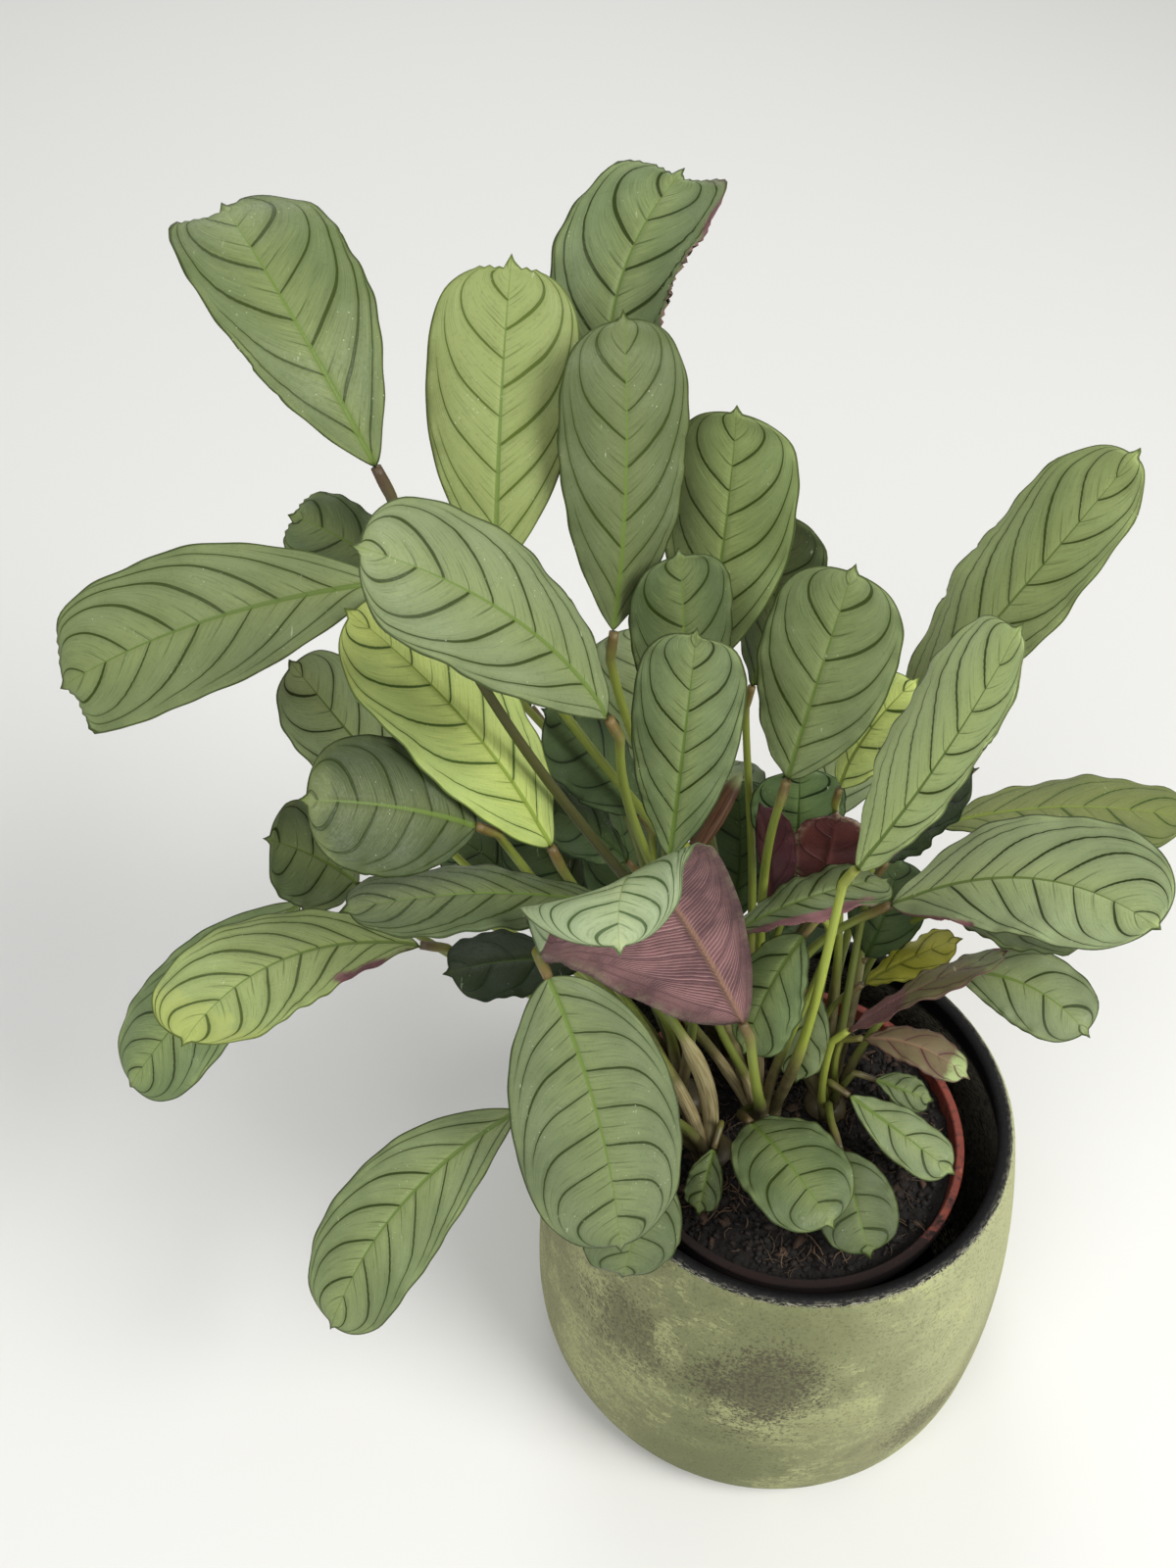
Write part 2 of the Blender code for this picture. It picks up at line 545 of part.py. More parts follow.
def stalk_path(item):
    """From the crown up and over to the blade's joint, then straight on to the blade."""
    foot = np.array(item.foot)
    out = unit(midrib(item, BLADE_STEP) - midrib(item, 0.0))
    joint = foot - out * STALK_JOINT_LENGTH
    start = stalk_start(item.clump, foot)
    span = joint - start
    distance = np.linalg.norm(span)
    arrive = unit(STALK_STRAIGHTNESS * span / distance + out)
    bend = np.array(item.bend)
    rise = start + (0, 0, STALK_RISE * distance) + STALK_LEAN * span * (1, 1, 0) + bend
    settle = joint - arrive * STALK_SETTLE * distance + bend
    count = int(np.clip(round(distance / STALK_POINT_SPACING) + 3, 4, 9))
    path = smooth_path((start, rise, settle, joint), count)
    return np.vstack((path, foot - out * STALK_END_GAP))


def stalk_radii(path, tip_radius):
    lengths = np.linalg.norm(np.diff(path, axis=0), axis=1)
    share = np.clip(np.concatenate(((0.0,), np.cumsum(lengths))) / lengths.sum(), 0, 1)
    return tip_radius * (1 + (STALK_TAPER - 1) * (1 - share) ** STALK_TAPER_CURVE)


def tube(name, path, radii, group):
    """A tapered tube as a closed mesh, from a curve with a bevel and filled caps."""
    curve = bpy.data.curves.new(name, "CURVE")
    curve.dimensions = "3D"
    curve.bevel_depth = 1.0
    curve.bevel_resolution = 1
    curve.use_fill_caps = True
    spline = curve.splines.new("POLY")
    spline.points.add(len(path) - 1)
    for point, place, radius in zip(spline.points, path, radii):
        point.co = (*place, 1.0)
        point.radius = radius
    guide = add_object(name + "_curve", curve, group)
    mesh = baked_mesh(guide, name)
    remove_object(guide)
    shape = bmesh.new()
    shape.from_mesh(mesh)
    bmesh.ops.remove_doubles(shape, verts=shape.verts, dist=MERGE_DISTANCE)
    shape.to_mesh(mesh)
    shape.free()
    return add_object(name, mesh, group)


def spear_tube(group):
    """The rolled leaf on its stalk: slim, then thick in the middle, then pointed."""
    stalk = stalk_path(SPEAR)
    rolled = midrib(SPEAR, [share for share, _ in SPEAR_SWELLING])
    radii = [*stalk_radii(stalk, SPEAR_STALK_RADIUS)]
    radii += [SPEAR.width / 2 * swelling for _, swelling in SPEAR_SWELLING]
    return tube("spear", np.vstack((stalk, rolled)), radii, group)


def crown(clump, group):
    """A short upright cylinder with a domed top, half sunk in the soil."""
    name = "stems_" + clump
    item = cylinder(name, CROWN_RADIUS, CROWN_FOOT, CROWN_TOP, CROWN_SIDES, CROWN_PLACES[clump], group)
    shape = bmesh.new()
    shape.from_mesh(item.data)
    top = [edge for edge in shape.edges if all(vertex.co.z > CROWN_TOP - TOUCH_GAP for vertex in edge.verts)]
    bmesh.ops.bevel(shape, geom=top, offset=CROWN_DOME, segments=2, profile=0.5, affect="EDGES")
    shape.to_mesh(item.data)
    shape.free()
    return item


def make_stems(clump, group):
    """All stalks of one clump, joined with their crown to one solid."""
    stalks = make_collection("stalks_" + clump)
    for item in LEAVES:
        if item.clump == clump:
            path = stalk_path(item)
            tip_radius = STALK_THICKNESS + STALK_THICKNESS_PER_WIDTH * item.width
            tube("stalk_" + item.name, path, stalk_radii(path, tip_radius), stalks)
    if clump == SPEAR.clump:
        spear_tube(stalks)
    core = crown(clump, group)
    union = core.modifiers.new("join", "BOOLEAN")
    union.operation = "UNION"
    union.solver = "EXACT"
    union.operand_type = "COLLECTION"
    union.collection = stalks
    bpy.context.view_layer.update()
    mesh = baked_mesh(core, core.name)
    remove_object(core)
    for item in list(stalks.objects):
        remove_object(item)
    bpy.data.collections.remove(stalks)
    stems = add_object("stems_" + clump, mesh, group)
    mesh.materials.clear()
    mesh.materials.append(make_material(stems.name, STALK_GREEN, 0.5))
    mesh.set_sharp_from_angle(angle=math.radians(50))


def main():
    clear_scene()
    parts = make_collection(OBJECT_NAME)
    cutters = make_collection("cutters")
    make_cover_pot(parts)
    make_nursery_pot(parts, cutters)
    make_soil(parts, cutters)
    for clump in CROWN_PLACES:
        make_stems(clump, parts)
    for number, item in enumerate(LEAVES):
        make_blade(item, BLADE_WAVE_SHIFT * number, parts)


main()
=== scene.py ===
# %% [markdown]
# # A potted ctenanthe
# This lesson dresses a house plant whose construction is already fixed: five clumps of stalks stand in soil, in a
# growing pot, in a cover pot, and carry 52 blades. The fixed model gives every place and size. Here each piece gets
# its fine shape and its finish, and nothing moves.

# %% Load the fixed model
import math
import random
from collections import namedtuple

import bmesh
import bpy
import numpy as np
from mathutils import Matrix, Vector, noise


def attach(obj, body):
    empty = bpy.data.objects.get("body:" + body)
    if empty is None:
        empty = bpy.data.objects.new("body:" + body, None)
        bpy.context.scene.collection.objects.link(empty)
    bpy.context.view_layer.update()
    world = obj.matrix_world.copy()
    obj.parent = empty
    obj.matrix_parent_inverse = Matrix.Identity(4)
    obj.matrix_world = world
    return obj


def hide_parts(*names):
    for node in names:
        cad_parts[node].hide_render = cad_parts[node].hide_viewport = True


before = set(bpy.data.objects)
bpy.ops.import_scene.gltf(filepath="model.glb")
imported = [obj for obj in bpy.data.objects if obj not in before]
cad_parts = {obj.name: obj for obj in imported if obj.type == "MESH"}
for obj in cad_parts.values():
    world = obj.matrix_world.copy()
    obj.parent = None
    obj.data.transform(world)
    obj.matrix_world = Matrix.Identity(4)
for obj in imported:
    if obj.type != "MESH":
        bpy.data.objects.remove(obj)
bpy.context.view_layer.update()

# %% [markdown]
# ## The camera
# The picture looks down on the plant from the front, a little to the left of the pot, and leans by two degrees. The
# camera's own axes are worked out from those three angles, so the view can be changed in plain terms.

# %% Camera
CAMERA_PLACE = Vector((-0.0958, -0.3681, 0.7689))
CAMERA_DOWN = math.radians(47.13)
CAMERA_LEAN = math.radians(2.15)
CAMERA_LENS = 36.0
CAMERA_FRAME = 36.0


def add_camera():
    sideways = Vector((1, 0, 0))
    forward = Vector((0, math.cos(CAMERA_DOWN), -math.sin(CAMERA_DOWN)))
    upward = sideways.cross(forward)
    right = sideways * math.cos(CAMERA_LEAN) + upward * math.sin(CAMERA_LEAN)
    up = upward * math.cos(CAMERA_LEAN) - sideways * math.sin(CAMERA_LEAN)
    lens = bpy.data.cameras.new("camera")
    lens.lens = CAMERA_LENS
    lens.sensor_width = CAMERA_FRAME
    camera = bpy.data.objects.new("camera", lens)
    camera.matrix_world = Matrix.Translation(CAMERA_PLACE) @ Matrix((right, up, -forward)).transposed().to_4x4()
    bpy.context.scene.collection.objects.link(camera)
    bpy.context.scene.camera = camera
    return camera


print("camera at", add_camera().matrix_world.translation)

# %% [markdown]
# ## The list of leaves
# Every leaf is written down: where its blade starts, which way it points and rises, how long and wide it
# is, and how it bows and rolls. The fixed model was made from the same list, so a finer blade lands on the same
# place. Lengths are metres and angles are degrees.

# %% How a leaf is written down
Leaf = namedtuple(
    "Leaf", "name clump foot heading rise reach width arch sway roll "
    "cup plump lean peak face tilt bend"
)


def leaf(name, clump, foot, heading, rise, reach, width, arch, sway, roll,
         cup=-0.1, plump=0, lean=0, peak=0.5, face=None, tilt=0, bend=(0, 0, 0)):
    """One leaf. Its midrib starts at foot and ends reach away, towards heading and up by rise (degrees).

    arch lifts the middle of the midrib, sway pushes it sideways, and peak moves that bow along it.
    roll turns the blade about the midrib, and cup bends its two halves up or, below zero, down.
    plump is 1 for a round base and 0 for a slim one, and lean makes the right half wider.
    face and tilt set the direction across the blade where the leaf folds over.
    bend pushes the middle of its stalk aside.
    """
    return Leaf(name, clump, foot, heading, rise, reach, width, arch, sway, roll,
                cup, plump, lean, peak, face, tilt, bend)


SPEAR = leaf("spear", "middle", (-0.057, 0.020, 0.309), 19, 68, 0.048, 0.0084,
             arch=0.0, sway=0.0, roll=0, bend=(0, 0.015, 0))
print("values of a leaf:", len(SPEAR))

# %% Leaf list
LEAVES = (
    leaf("upper_left", "back", (-0.163, 0.020, 0.487), 130, 33, 0.096, 0.049,
         arch=0.016, sway=-0.005, roll=3, cup=0, lean=0.12, bend=(0, -0.03, -0.02)),
    leaf("upper_mid_left", "back", (-0.129, 0.035, 0.434), 87, 57, 0.102, 0.049,
         arch=0.004, sway=-0.001, roll=-5, bend=(0.03, 0, -0.02)),
    leaf("top_back", "back", (-0.092, 0.090, 0.458), 67, 50, 0.088, 0.052,
         arch=0.012, sway=-0.006, roll=10, cup=0.15),
    leaf("top_centre", "middle", (-0.089, 0.030, 0.416), 92, 66, 0.105, 0.045,
         arch=0.002, sway=0.002, roll=-20, bend=(0.0075, 0, 0)),
    leaf("big_silver", "middle", (-0.090, -0.020, 0.424), 194, 47, 0.109, 0.045,
         arch=0.008, sway=0.006, roll=38, bend=(-0.0225, 0.0075, 0)),
    leaf("far_left", "left", (-0.166, 0.036, 0.429), 191, -17, 0.119, 0.051,
         arch=0.014, sway=0.003, roll=37, cup=0.15, bend=(0, 0.0225, 0)),
    leaf("back_left_small", "back", (-0.166, 0.085, 0.386), 165, 25, 0.054, 0.033,
         arch=0.005, sway=0.001, roll=19, bend=(-0.0075, 0.015, 0)),
    leaf("yellow_mid", "front", (-0.108, -0.010, 0.350), 157, 47, 0.111, 0.050,
         arch=0.008, sway=0.002, roll=7, cup=0, plump=0.5, bend=(0.015, 0, -0.02)),
    leaf("dark_left", "left", (-0.168, 0.045, 0.312), 178, 62, 0.080, 0.039,
         arch=0.002, sway=-0.001, roll=31, plump=0.6, bend=(0, 0.0075, -0.02)),
    leaf("round_left", "front", (-0.133, -0.020, 0.371), 199, 28, 0.065, 0.046,
         arch=0.003, sway=0.002, roll=38, plump=1, bend=(-0.015, 0.015, -0.02)),
    leaf("under_round", "left", (-0.186, 0.026, 0.280), 200, 50, 0.052, 0.042,
         arch=0.002, sway=0.002, roll=34, plump=1, bend=(0, 0, -0.02)),
    leaf("low_back_left", "left", (-0.210, 0.026, 0.268), 204, -46, 0.124, 0.047,
         arch=0.007, sway=0.002, roll=26),
    leaf("yellow_tip", "left", (-0.157, -0.010, 0.290), 220, 12, 0.100, 0.051,
         arch=0.004, sway=0.016, roll=-4, cup=0.05, bend=(0, 0, -0.02)),
    leaf("flat_mid_left", "left", (-0.083, -0.028, 0.341), 194, 12, 0.098, 0.040,
         arch=0.005, sway=0.002, roll=-16, bend=(0, -0.0075, 0)),
    leaf("purple_back", "middle", (-0.034, -0.030, 0.275), 222, 56, 0.120, 0.067,
         arch=0.023, sway=0.020, roll=0, plump=1.2, lean=0.30, peak=1.18, face=290, tilt=-25,
         bend=(0, -0.0075, -0.02)),
    leaf("dark_low_left", "left", (-0.094, -0.010, 0.282), 195, 9, 0.056, 0.032,
         arch=0.003, sway=0.002, roll=-2),
    leaf("front_big", "front", (-0.107, -0.050, 0.328), 302, -62, 0.120, 0.062,
         arch=0.003, sway=-0.004, roll=-11, cup=-0.2, plump=1, bend=(0, 0, -0.02)),
    leaf("low_left", "front", (-0.117, -0.060, 0.257), 216, -43, 0.120, 0.046,
         arch=0.006, sway=0.009, roll=12, cup=0, bend=(-0.0075, 0, -0.02)),
    leaf("over_rim", "front", (-0.075, -0.060, 0.232), 270, -67, 0.064, 0.039,
         arch=0.005, sway=-0.003, roll=4, plump=0.6, bend=(0, -0.0075, 0)),
    leaf("small_by_stems", "front", (-0.038, -0.035, 0.191), 255, -40, 0.029, 0.016,
         arch=0.002, sway=0.000, roll=-8),
    leaf("in_pot_front", "middle", (-0.022, -0.020, 0.188), 300, 8, 0.062, 0.044,
         arch=0.009, sway=0.001, roll=-4, cup=0, plump=1),
    leaf("in_pot_behind", "right", (0.014, -0.036, 0.194), 288, -27, 0.044, 0.033,
         arch=0.003, sway=0.000, roll=-14, plump=1),
    leaf("in_pot_right", "right", (0.021, -0.006, 0.189), 325, -11, 0.054, 0.023,
         arch=0.002, sway=0.000, roll=-15),
    leaf("in_pot_small", "right", (0.032, 0.000, 0.193), 0, -30, 0.032, 0.016,
         arch=0.001, sway=0.000, roll=-20, bend=(0, 0, -0.02)),
    leaf("young_purple", "right", (0.015, 0.000, 0.229), 14, 32, 0.073, 0.026,
         arch=0.006, sway=0.008, roll=37, bend=(0, -0.0075, -0.02)),
    leaf("olive_roll", "right", (0.024, 0.026, 0.226), 8, 36, 0.047, 0.024,
         arch=0.002, sway=0.000, roll=16, bend=(-0.0075, 0, 0)),
    leaf("young_pink", "right", (0.025, 0.010, 0.209), 333, 5, 0.048, 0.020,
         arch=0.007, sway=-0.002, roll=-4, bend=(0, -0.0075, 0)),
    leaf("right_lower", "right", (0.060, 0.022, 0.242), 327, 2, 0.059, 0.034,
         arch=0.006, sway=-0.007, roll=-24, plump=0.6),
    leaf("right_big", "right", (0.028, 0.030, 0.275), 322, 34, 0.118, 0.056,
         arch=0.003, sway=-0.016, roll=-18, cup=0.15, plump=0.6, bend=(-0.03, 0, 0)),
    leaf("right_back", "right", (0.051, 0.070, 0.279), 348, 18, 0.102, 0.048,
         arch=0.005, sway=-0.005, roll=8, cup=-0.15, bend=(-0.0075, 0.0075, -0.02)),
    leaf("right_upper", "right", (0.020, 0.050, 0.356), 16, 61, 0.132, 0.053,
         arch=0.006, sway=0.006, roll=-3, plump=0.8, lean=-0.25, bend=(0.015, 0.0225, -0.02)),
    leaf("right_mid", "middle", (0.000, -0.010, 0.344), 18, 70, 0.114, 0.049,
         arch=0.002, sway=0.006, roll=4, plump=0.8, lean=-0.42, bend=(0.0075, -0.0075, -0.02)),
    leaf("centre_right", "middle", (-0.026, 0.010, 0.367), 55, 74, 0.086, 0.047,
         arch=0.005, sway=0.001, roll=-5, bend=(0, 0.03, -0.02)),
    leaf("yellow_small", "right", (0.000, 0.040, 0.332), 26, 62, 0.056, 0.030,
         arch=0.008, sway=0.001, roll=-3, bend=(0.0075, 0.03, 0)),
    leaf("centre_front", "middle", (-0.066, -0.010, 0.346), 78, 83, 0.099, 0.037,
         arch=-0.002, sway=0.000, roll=-3, bend=(-0.0225, 0.0075, -0.02)),
    leaf("behind_centre", "back", (-0.065, 0.032, 0.372), 118, 83, 0.074, 0.037,
         arch=0.004, sway=0.001, roll=10, bend=(-0.0075, 0, 0)),
    leaf("back_right_tall", "back", (-0.056, 0.050, 0.380), 80, 74, 0.100, 0.047,
         arch=-0.002, sway=0.001, roll=12, cup=-0.15, bend=(-0.0225, 0, -0.02)),
    leaf("edge_behind", "back", (-0.033, 0.080, 0.346), 67, 72, 0.074, 0.038,
         arch=0.001, sway=0.002, roll=20, bend=(0.0075, 0, 0)),
    leaf("dark_small", "back", (-0.009, 0.052, 0.277), 104, 74, 0.045, 0.039,
         arch=0.002, sway=0.000, roll=10, plump=1),
    leaf("red_back", "back", (0.002, 0.047, 0.263), 262, 82, 0.059, 0.031,
         arch=-0.003, sway=0.000, roll=0, plump=0.5),
    leaf("red_flap", "back", (-0.0185, 0.0355, 0.262), 180, 80, 0.066, 0.015,
         arch=0.000, sway=0.001, roll=88, plump=1, lean=0.5, bend=(0, 0.0225, 0)),
    leaf("silver_purple", "middle", (-0.037, 0.006, 0.284), 15, 15, 0.065, 0.037,
         arch=0.008, sway=0.006, roll=24, lean=-0.12, bend=(0, -0.015, 0)),
    leaf("silver_hanging", "middle", (-0.011, 0.000, 0.292), 226, -64, 0.061, 0.034,
         arch=0.002, sway=0.002, roll=-9, cup=-0.15, plump=0.5, bend=(-0.0075, -0.0075, 0)),
    leaf("inner_right", "right", (0.005, 0.020, 0.226), 250, -66, 0.046, 0.020,
         arch=0.001, sway=0.000, roll=16, bend=(-0.0075, 0, -0.02)),
    leaf("under_right", "right", (0.055, 0.030, 0.269), 338, 17, 0.056, 0.034,
         arch=0.001, sway=0.002, roll=20, bend=(0, 0.0225, -0.02)),
    leaf("dark_centre", "left", (-0.075, 0.032, 0.322), 180, 55, 0.067, 0.038,
         arch=0.002, sway=0.002, roll=24, bend=(-0.0075, -0.0075, 0)),
    leaf("shade_a", "left", (-0.079, 0.030, 0.296), 180, 42, 0.049, 0.030,
         arch=0.002, sway=0.002, roll=9, bend=(0.0075, 0, 0)),
    leaf("behind_mid", "right", (0.025, 0.040, 0.290), 0, 66, 0.062, 0.034,
         arch=0.002, sway=0.000, roll=10, bend=(0, 0, 0.02)),
    leaf("rear_left", "back", (-0.120, 0.085, 0.325), 146, 18, 0.098, 0.048,
         arch=0.009, sway=0.002, roll=4, bend=(-0.0225, 0, -0.02)),
    leaf("rear_middle", "back", (-0.065, 0.095, 0.260), 98, 12, 0.096, 0.047,
         arch=0.010, sway=0.000, roll=0, bend=(-0.0075, 0, -0.02)),
    leaf("rear_right", "back", (0.005, 0.095, 0.245), 58, 14, 0.094, 0.046,
         arch=0.009, sway=-0.002, roll=-4),
    leaf("rear_low", "back", (-0.040, 0.080, 0.235), 84, -12, 0.088, 0.043,
         arch=0.010, sway=0.001, roll=3, bend=(0, 0, -0.02)),
)

# Small shaded leaves low among the stalks, which close the gaps between the clumps. Their dark green is painted
# shade.
INFILL = (
    leaf("dark_infill_a", "left", (-0.078, 0.058, 0.222), 158, 50, 0.058, 0.040, 0.006, 0.004, 12, plump=0.8),
    leaf("dark_infill_b", "left", (-0.070, 0.050, 0.232), 124, 66, 0.068, 0.044, 0.006, -0.004, -6, plump=0.8),
    leaf("dark_infill_c", "back", (-0.031, 0.058, 0.226), 100, 74, 0.074, 0.038, 0.005, 0.002, 4, plump=0.6),
    leaf("dark_infill_f", "left", (-0.118, 0.050, 0.240), 160, 35, 0.055, 0.036, 0.006, 0.002, 8, plump=0.8),
    leaf("dark_infill_e", "left", (-0.100, 0.046, 0.242), 150, 52, 0.054, 0.040, 0.006, 0.002, 8, plump=0.8),
    leaf("dark_infill_g", "right", (-0.030, 0.052, 0.206), 17, 26, 0.056, 0.034, 0.005, 0.002, -6, plump=0.7),
    leaf("dark_infill_d", "right", (0.026, 0.040, 0.226), 62, 70, 0.054, 0.032, 0.005, 0.002, -8, plump=0.5),
)
print("leaves:", len(LEAVES), "longest:", max(item.reach for item in LEAVES))

# %% [markdown]
# ## The form of a blade
# A blade is a flat square pressed into a disc, whose rim then becomes the oval outline of the leaf. That gives
# small even faces all over, with no crowded pole at the tip. The midrib is a gentle bow in space, and the width
# follows a full, blunt curve that is widest past the middle, as on the real plant. Each pair of numbers goes from a
# slim base to a plump one.

# %% Blade outline and midrib
BLADE_WIDEST = (0.61, 0.54)
BLADE_BASE_ROUNDNESS = 1.9
BLADE_BASE_FULLNESS = (0.88, 0.62)
BLADE_TIP_ROUNDNESS = (3.8, 3.0)
BLADE_TIP_FULLNESS = 0.46
BLADE_WAVE = 0.0010
BLADE_WAVES = 2.5
BLADE_WAVE_SHIFT = 0.37
BLADE_STEP = 0.001


def unit(vectors):
    return vectors / np.linalg.norm(vectors, axis=-1, keepdims=True)


def leaf_frame(item):
    """Unit vectors along the leaf, across it to the right, and out of its upper side."""
    heading, rise, roll = np.radians((item.heading, item.rise, item.roll))
    along = np.array((math.cos(rise) * math.cos(heading), math.cos(rise) * math.sin(heading), math.sin(rise)))
    level = np.array((math.sin(heading), -math.cos(heading), 0.0))
    upper = np.cross(level, along)
    across = level * math.cos(roll) + upper * math.sin(roll)
    return along, across, upper * math.cos(roll) - level * math.sin(roll)


def blade_across(item):
    """The direction across the blade, which a folded leaf sets by itself."""
    if item.face is None:
        return leaf_frame(item)[1]
    face, tilt = np.radians((item.face, item.tilt))
    return np.array((math.sin(face) * math.cos(tilt), -math.cos(face) * math.cos(tilt), math.sin(tilt)))


def midrib(item, share):
    """Points on the midrib, share 0 at the foot and 1 at the tip."""
    along, across, upper = leaf_frame(item)
    share = np.asarray(share, float)[..., None]
    bow = share * (1 - share)
    run = 2 * bow * item.peak + share ** 2
    return np.array(item.foot) + along * item.reach * run + (upper * item.arch + across * item.sway) * 4 * bow


def between(pair, share):
    return pair[0] + (pair[1] - pair[0]) * share


def blade_fullness(item, share):
    """Half the blade's width at a share of its length, as a part of the widest half."""
    widest = between(BLADE_WIDEST, item.plump)
    to_base = np.clip((widest - share) / widest, 0, 1)
    to_tip = np.clip((share - widest) / (1 - widest), 0, 1)
    base = (1 - to_base ** BLADE_BASE_ROUNDNESS) ** between(BLADE_BASE_FULLNESS, item.plump)
    tip = (1 - to_tip ** between(BLADE_TIP_ROUNDNESS, item.plump)) ** BLADE_TIP_FULLNESS
    return np.where(share < widest, base, tip)


print("tip of the first leaf:", midrib(LEAVES[0], 1.0).round(3))

# %% [markdown]
# ## Where the veins run
# The side veins leave the midrib at a slant, arch outwards, and turn along the margin to the tip, nested like the
# lines of a fingerprint. One formula says this: a level that is the same all along a vein. The mesh uses it to sink
# the veins a little, and the material uses the same formula to colour them, so the two fall together.

# %% Vein levels
VEIN_SLANT = 0.22
VEIN_SLANTS = {"front_big": 0.10, "in_pot_front": 0.12, "in_pot_behind": 0.12, "round_left": 0.15,
               "under_round": 0.15, "purple_back": 0.10, "dark_small": 0.14, "over_rim": 0.15}
VEIN_SLANT_CURVE = 1.15
VEIN_TURN = 0.38
VEIN_TURN_CURVE = 6.6
VEIN_SPACING = 0.0185
VEIN_SPACINGS = {"front_big": 0.0165, "in_pot_front": 0.0135, "round_left": 0.0140, "purple_back": 0.0100,
                 "flat_mid_left": 0.0140, "yellow_tip": 0.0150, "silver_purple": 0.0120, "olive_roll": 0.0200}
FEWEST_VEINS = 3.0
VEIN_DEPTH = 0.0004
VEIN_REACH = 0.0016
MIDRIB_GROOVE = 0.0006
MIDRIB_HALF = 0.0010
RIB_DEPTH = 0.0010
RIB_HALF = 0.0012


def vein_pairs(item):
    """How many pairs of side veins a blade has, from its length."""
    return max(FEWEST_VEINS, round(item.reach / VEIN_SPACINGS.get(item.name, VEIN_SPACING), 1))


def vein_slant(item):
    return VEIN_SLANTS.get(item.name, VEIN_SLANT)


def vein_level(item, side, share):
    reach = np.abs(side)
    return share - vein_slant(item) * reach ** VEIN_SLANT_CURVE - VEIN_TURN * reach ** VEIN_TURN_CURVE


def vein_distance(item, shift, side, share):
    """Rough distance in metres to the nearest side vein."""
    count = vein_level(item, side, share) * vein_pairs(item) + shift + 0.5 * (side > 0)
    return np.abs(count - np.floor(count) - 0.5) / vein_pairs(item) * item.reach


print("pairs of veins:", sorted({vein_pairs(item) for item in LEAVES}))

# %% [markdown]
# ## What each blade looks like
# Most blades are silver green. Some are younger and more yellow, some stand in the shade and get a deeper green that
# is painted shade, and a few show their purple back. A leaf may also be torn or brown at its edge, or turned over
# along one side, so that its purple back shows there. Each leaf could have a material of its own, but it is easier to
# keep short notes by the leaf's name, and to let a few shared materials read them from the mesh.

# %% Kinds of leaves
KINDS = {
    "yellow": ("yellow_mid", "yellow_small", "right_back"),
    "olive": ("olive_roll",),
    "deep": ("dark_small", "dark_low_left", "dark_centre", "shade_a", "behind_mid", "dark_infill_a",
             "dark_infill_b", "dark_infill_c", "dark_infill_d", "dark_infill_e", "dark_infill_f", "dark_infill_g"),
    "purple": ("purple_back",),
    "young": ("young_purple", "young_pink"),
    "red": ("red_back", "red_flap"),
}
KIND_OF = {name: kind for kind, names in KINDS.items() for name in names}
print({kind: len(names) for kind, names in KINDS.items()})

# %% Tones of the leaves
# How strongly the end of a leaf turns to the tip colour of its kind.
YELLOW_TIPS = {
    "young_pink": 1.6, "young_purple": 1.2, "yellow_tip": 1.0, "round_left": 0.2, "right_upper": 0.15,
    "yellow_mid": 0.3,
}
# How far a leaf leans towards the yellow green of a young one.
FRESHNESS = {
    "upper_mid_left": 0.55, "right_mid": 0.18, "right_upper": 0.25, "yellow_tip": 0.32, "top_centre": 0.12,
    "upper_left": 0.10, "far_left": 0.15, "centre_right": 0.12, "low_left": 0.08, "back_right_tall": 0.15,
    "big_silver": 0.05, "rear_left": 0.2, "rear_middle": 0.1,
}
# Where a leaf stands between the dark (0) and the light (1) green of its kind. Mostly this is the leaf's own tone;
# for leaves that others shade, such as dark_left and under_round, it is raised as painted light.
TONES_WITH_PAINTED_LIGHT = {
    "upper_left": 0.25, "big_silver": 0.65, "top_centre": 0.38, "far_left": 0.45, "front_big": 0.50,
    "right_big": 0.75, "right_mid": 0.70, "right_upper": 0.45, "upper_mid_left": 0.60, "under_round": 0.30,
    "low_back_left": 0.20, "back_left_small": 0.10, "behind_centre": 0.10, "edge_behind": 0.05, "under_right": 0.2,
    "rear_low": 0.2, "small_by_stems": 0.10, "dark_left": 0.60, "centre_front": 0.35, "centre_right": 0.40,
    "back_right_tall": 0.2, "top_back": 0.30, "silver_hanging": 0.15, "silver_purple": 0.40, "round_left": 0.18,
    "in_pot_front": 0.20, "in_pot_behind": 0.30, "right_lower": 0.55,
}
# How much lighter or darker a leaf is than its kind: partly its own tone, partly painted light and shade that makes
# up for how much light falls on it.
LIGHTNESS_WITH_PAINTED_LIGHT = {
    "top_back": 1.26, "top_centre": 0.72, "back_right_tall": 1.36, "far_left": 1.08, "yellow_mid": 1.45,
    "dark_left": 1.85, "round_left": 0.66, "under_round": 1.18, "low_back_left": 1.75, "yellow_tip": 1.42,
    "flat_mid_left": 0.80, "purple_back": 0.90, "dark_low_left": 0.42, "front_big": 0.88, "low_left": 1.22,
    "over_rim": 0.90, "in_pot_behind": 0.78, "in_pot_right": 1.20, "right_big": 1.60, "right_back": 0.60,
    "right_upper": 1.48, "right_mid": 2.00, "centre_right": 1.08, "yellow_small": 2.10, "centre_front": 1.28,
    "dark_small": 1.80, "silver_hanging": 1.68, "in_pot_front": 1.05, "inner_right": 1.1, "big_silver": 0.94,
    "behind_centre": 0.96, "right_lower": 1.08,
}
print("darkest and lightest leaf:", min(LIGHTNESS_WITH_PAINTED_LIGHT.values()), max(LIGHTNESS_WITH_PAINTED_LIGHT.values()))

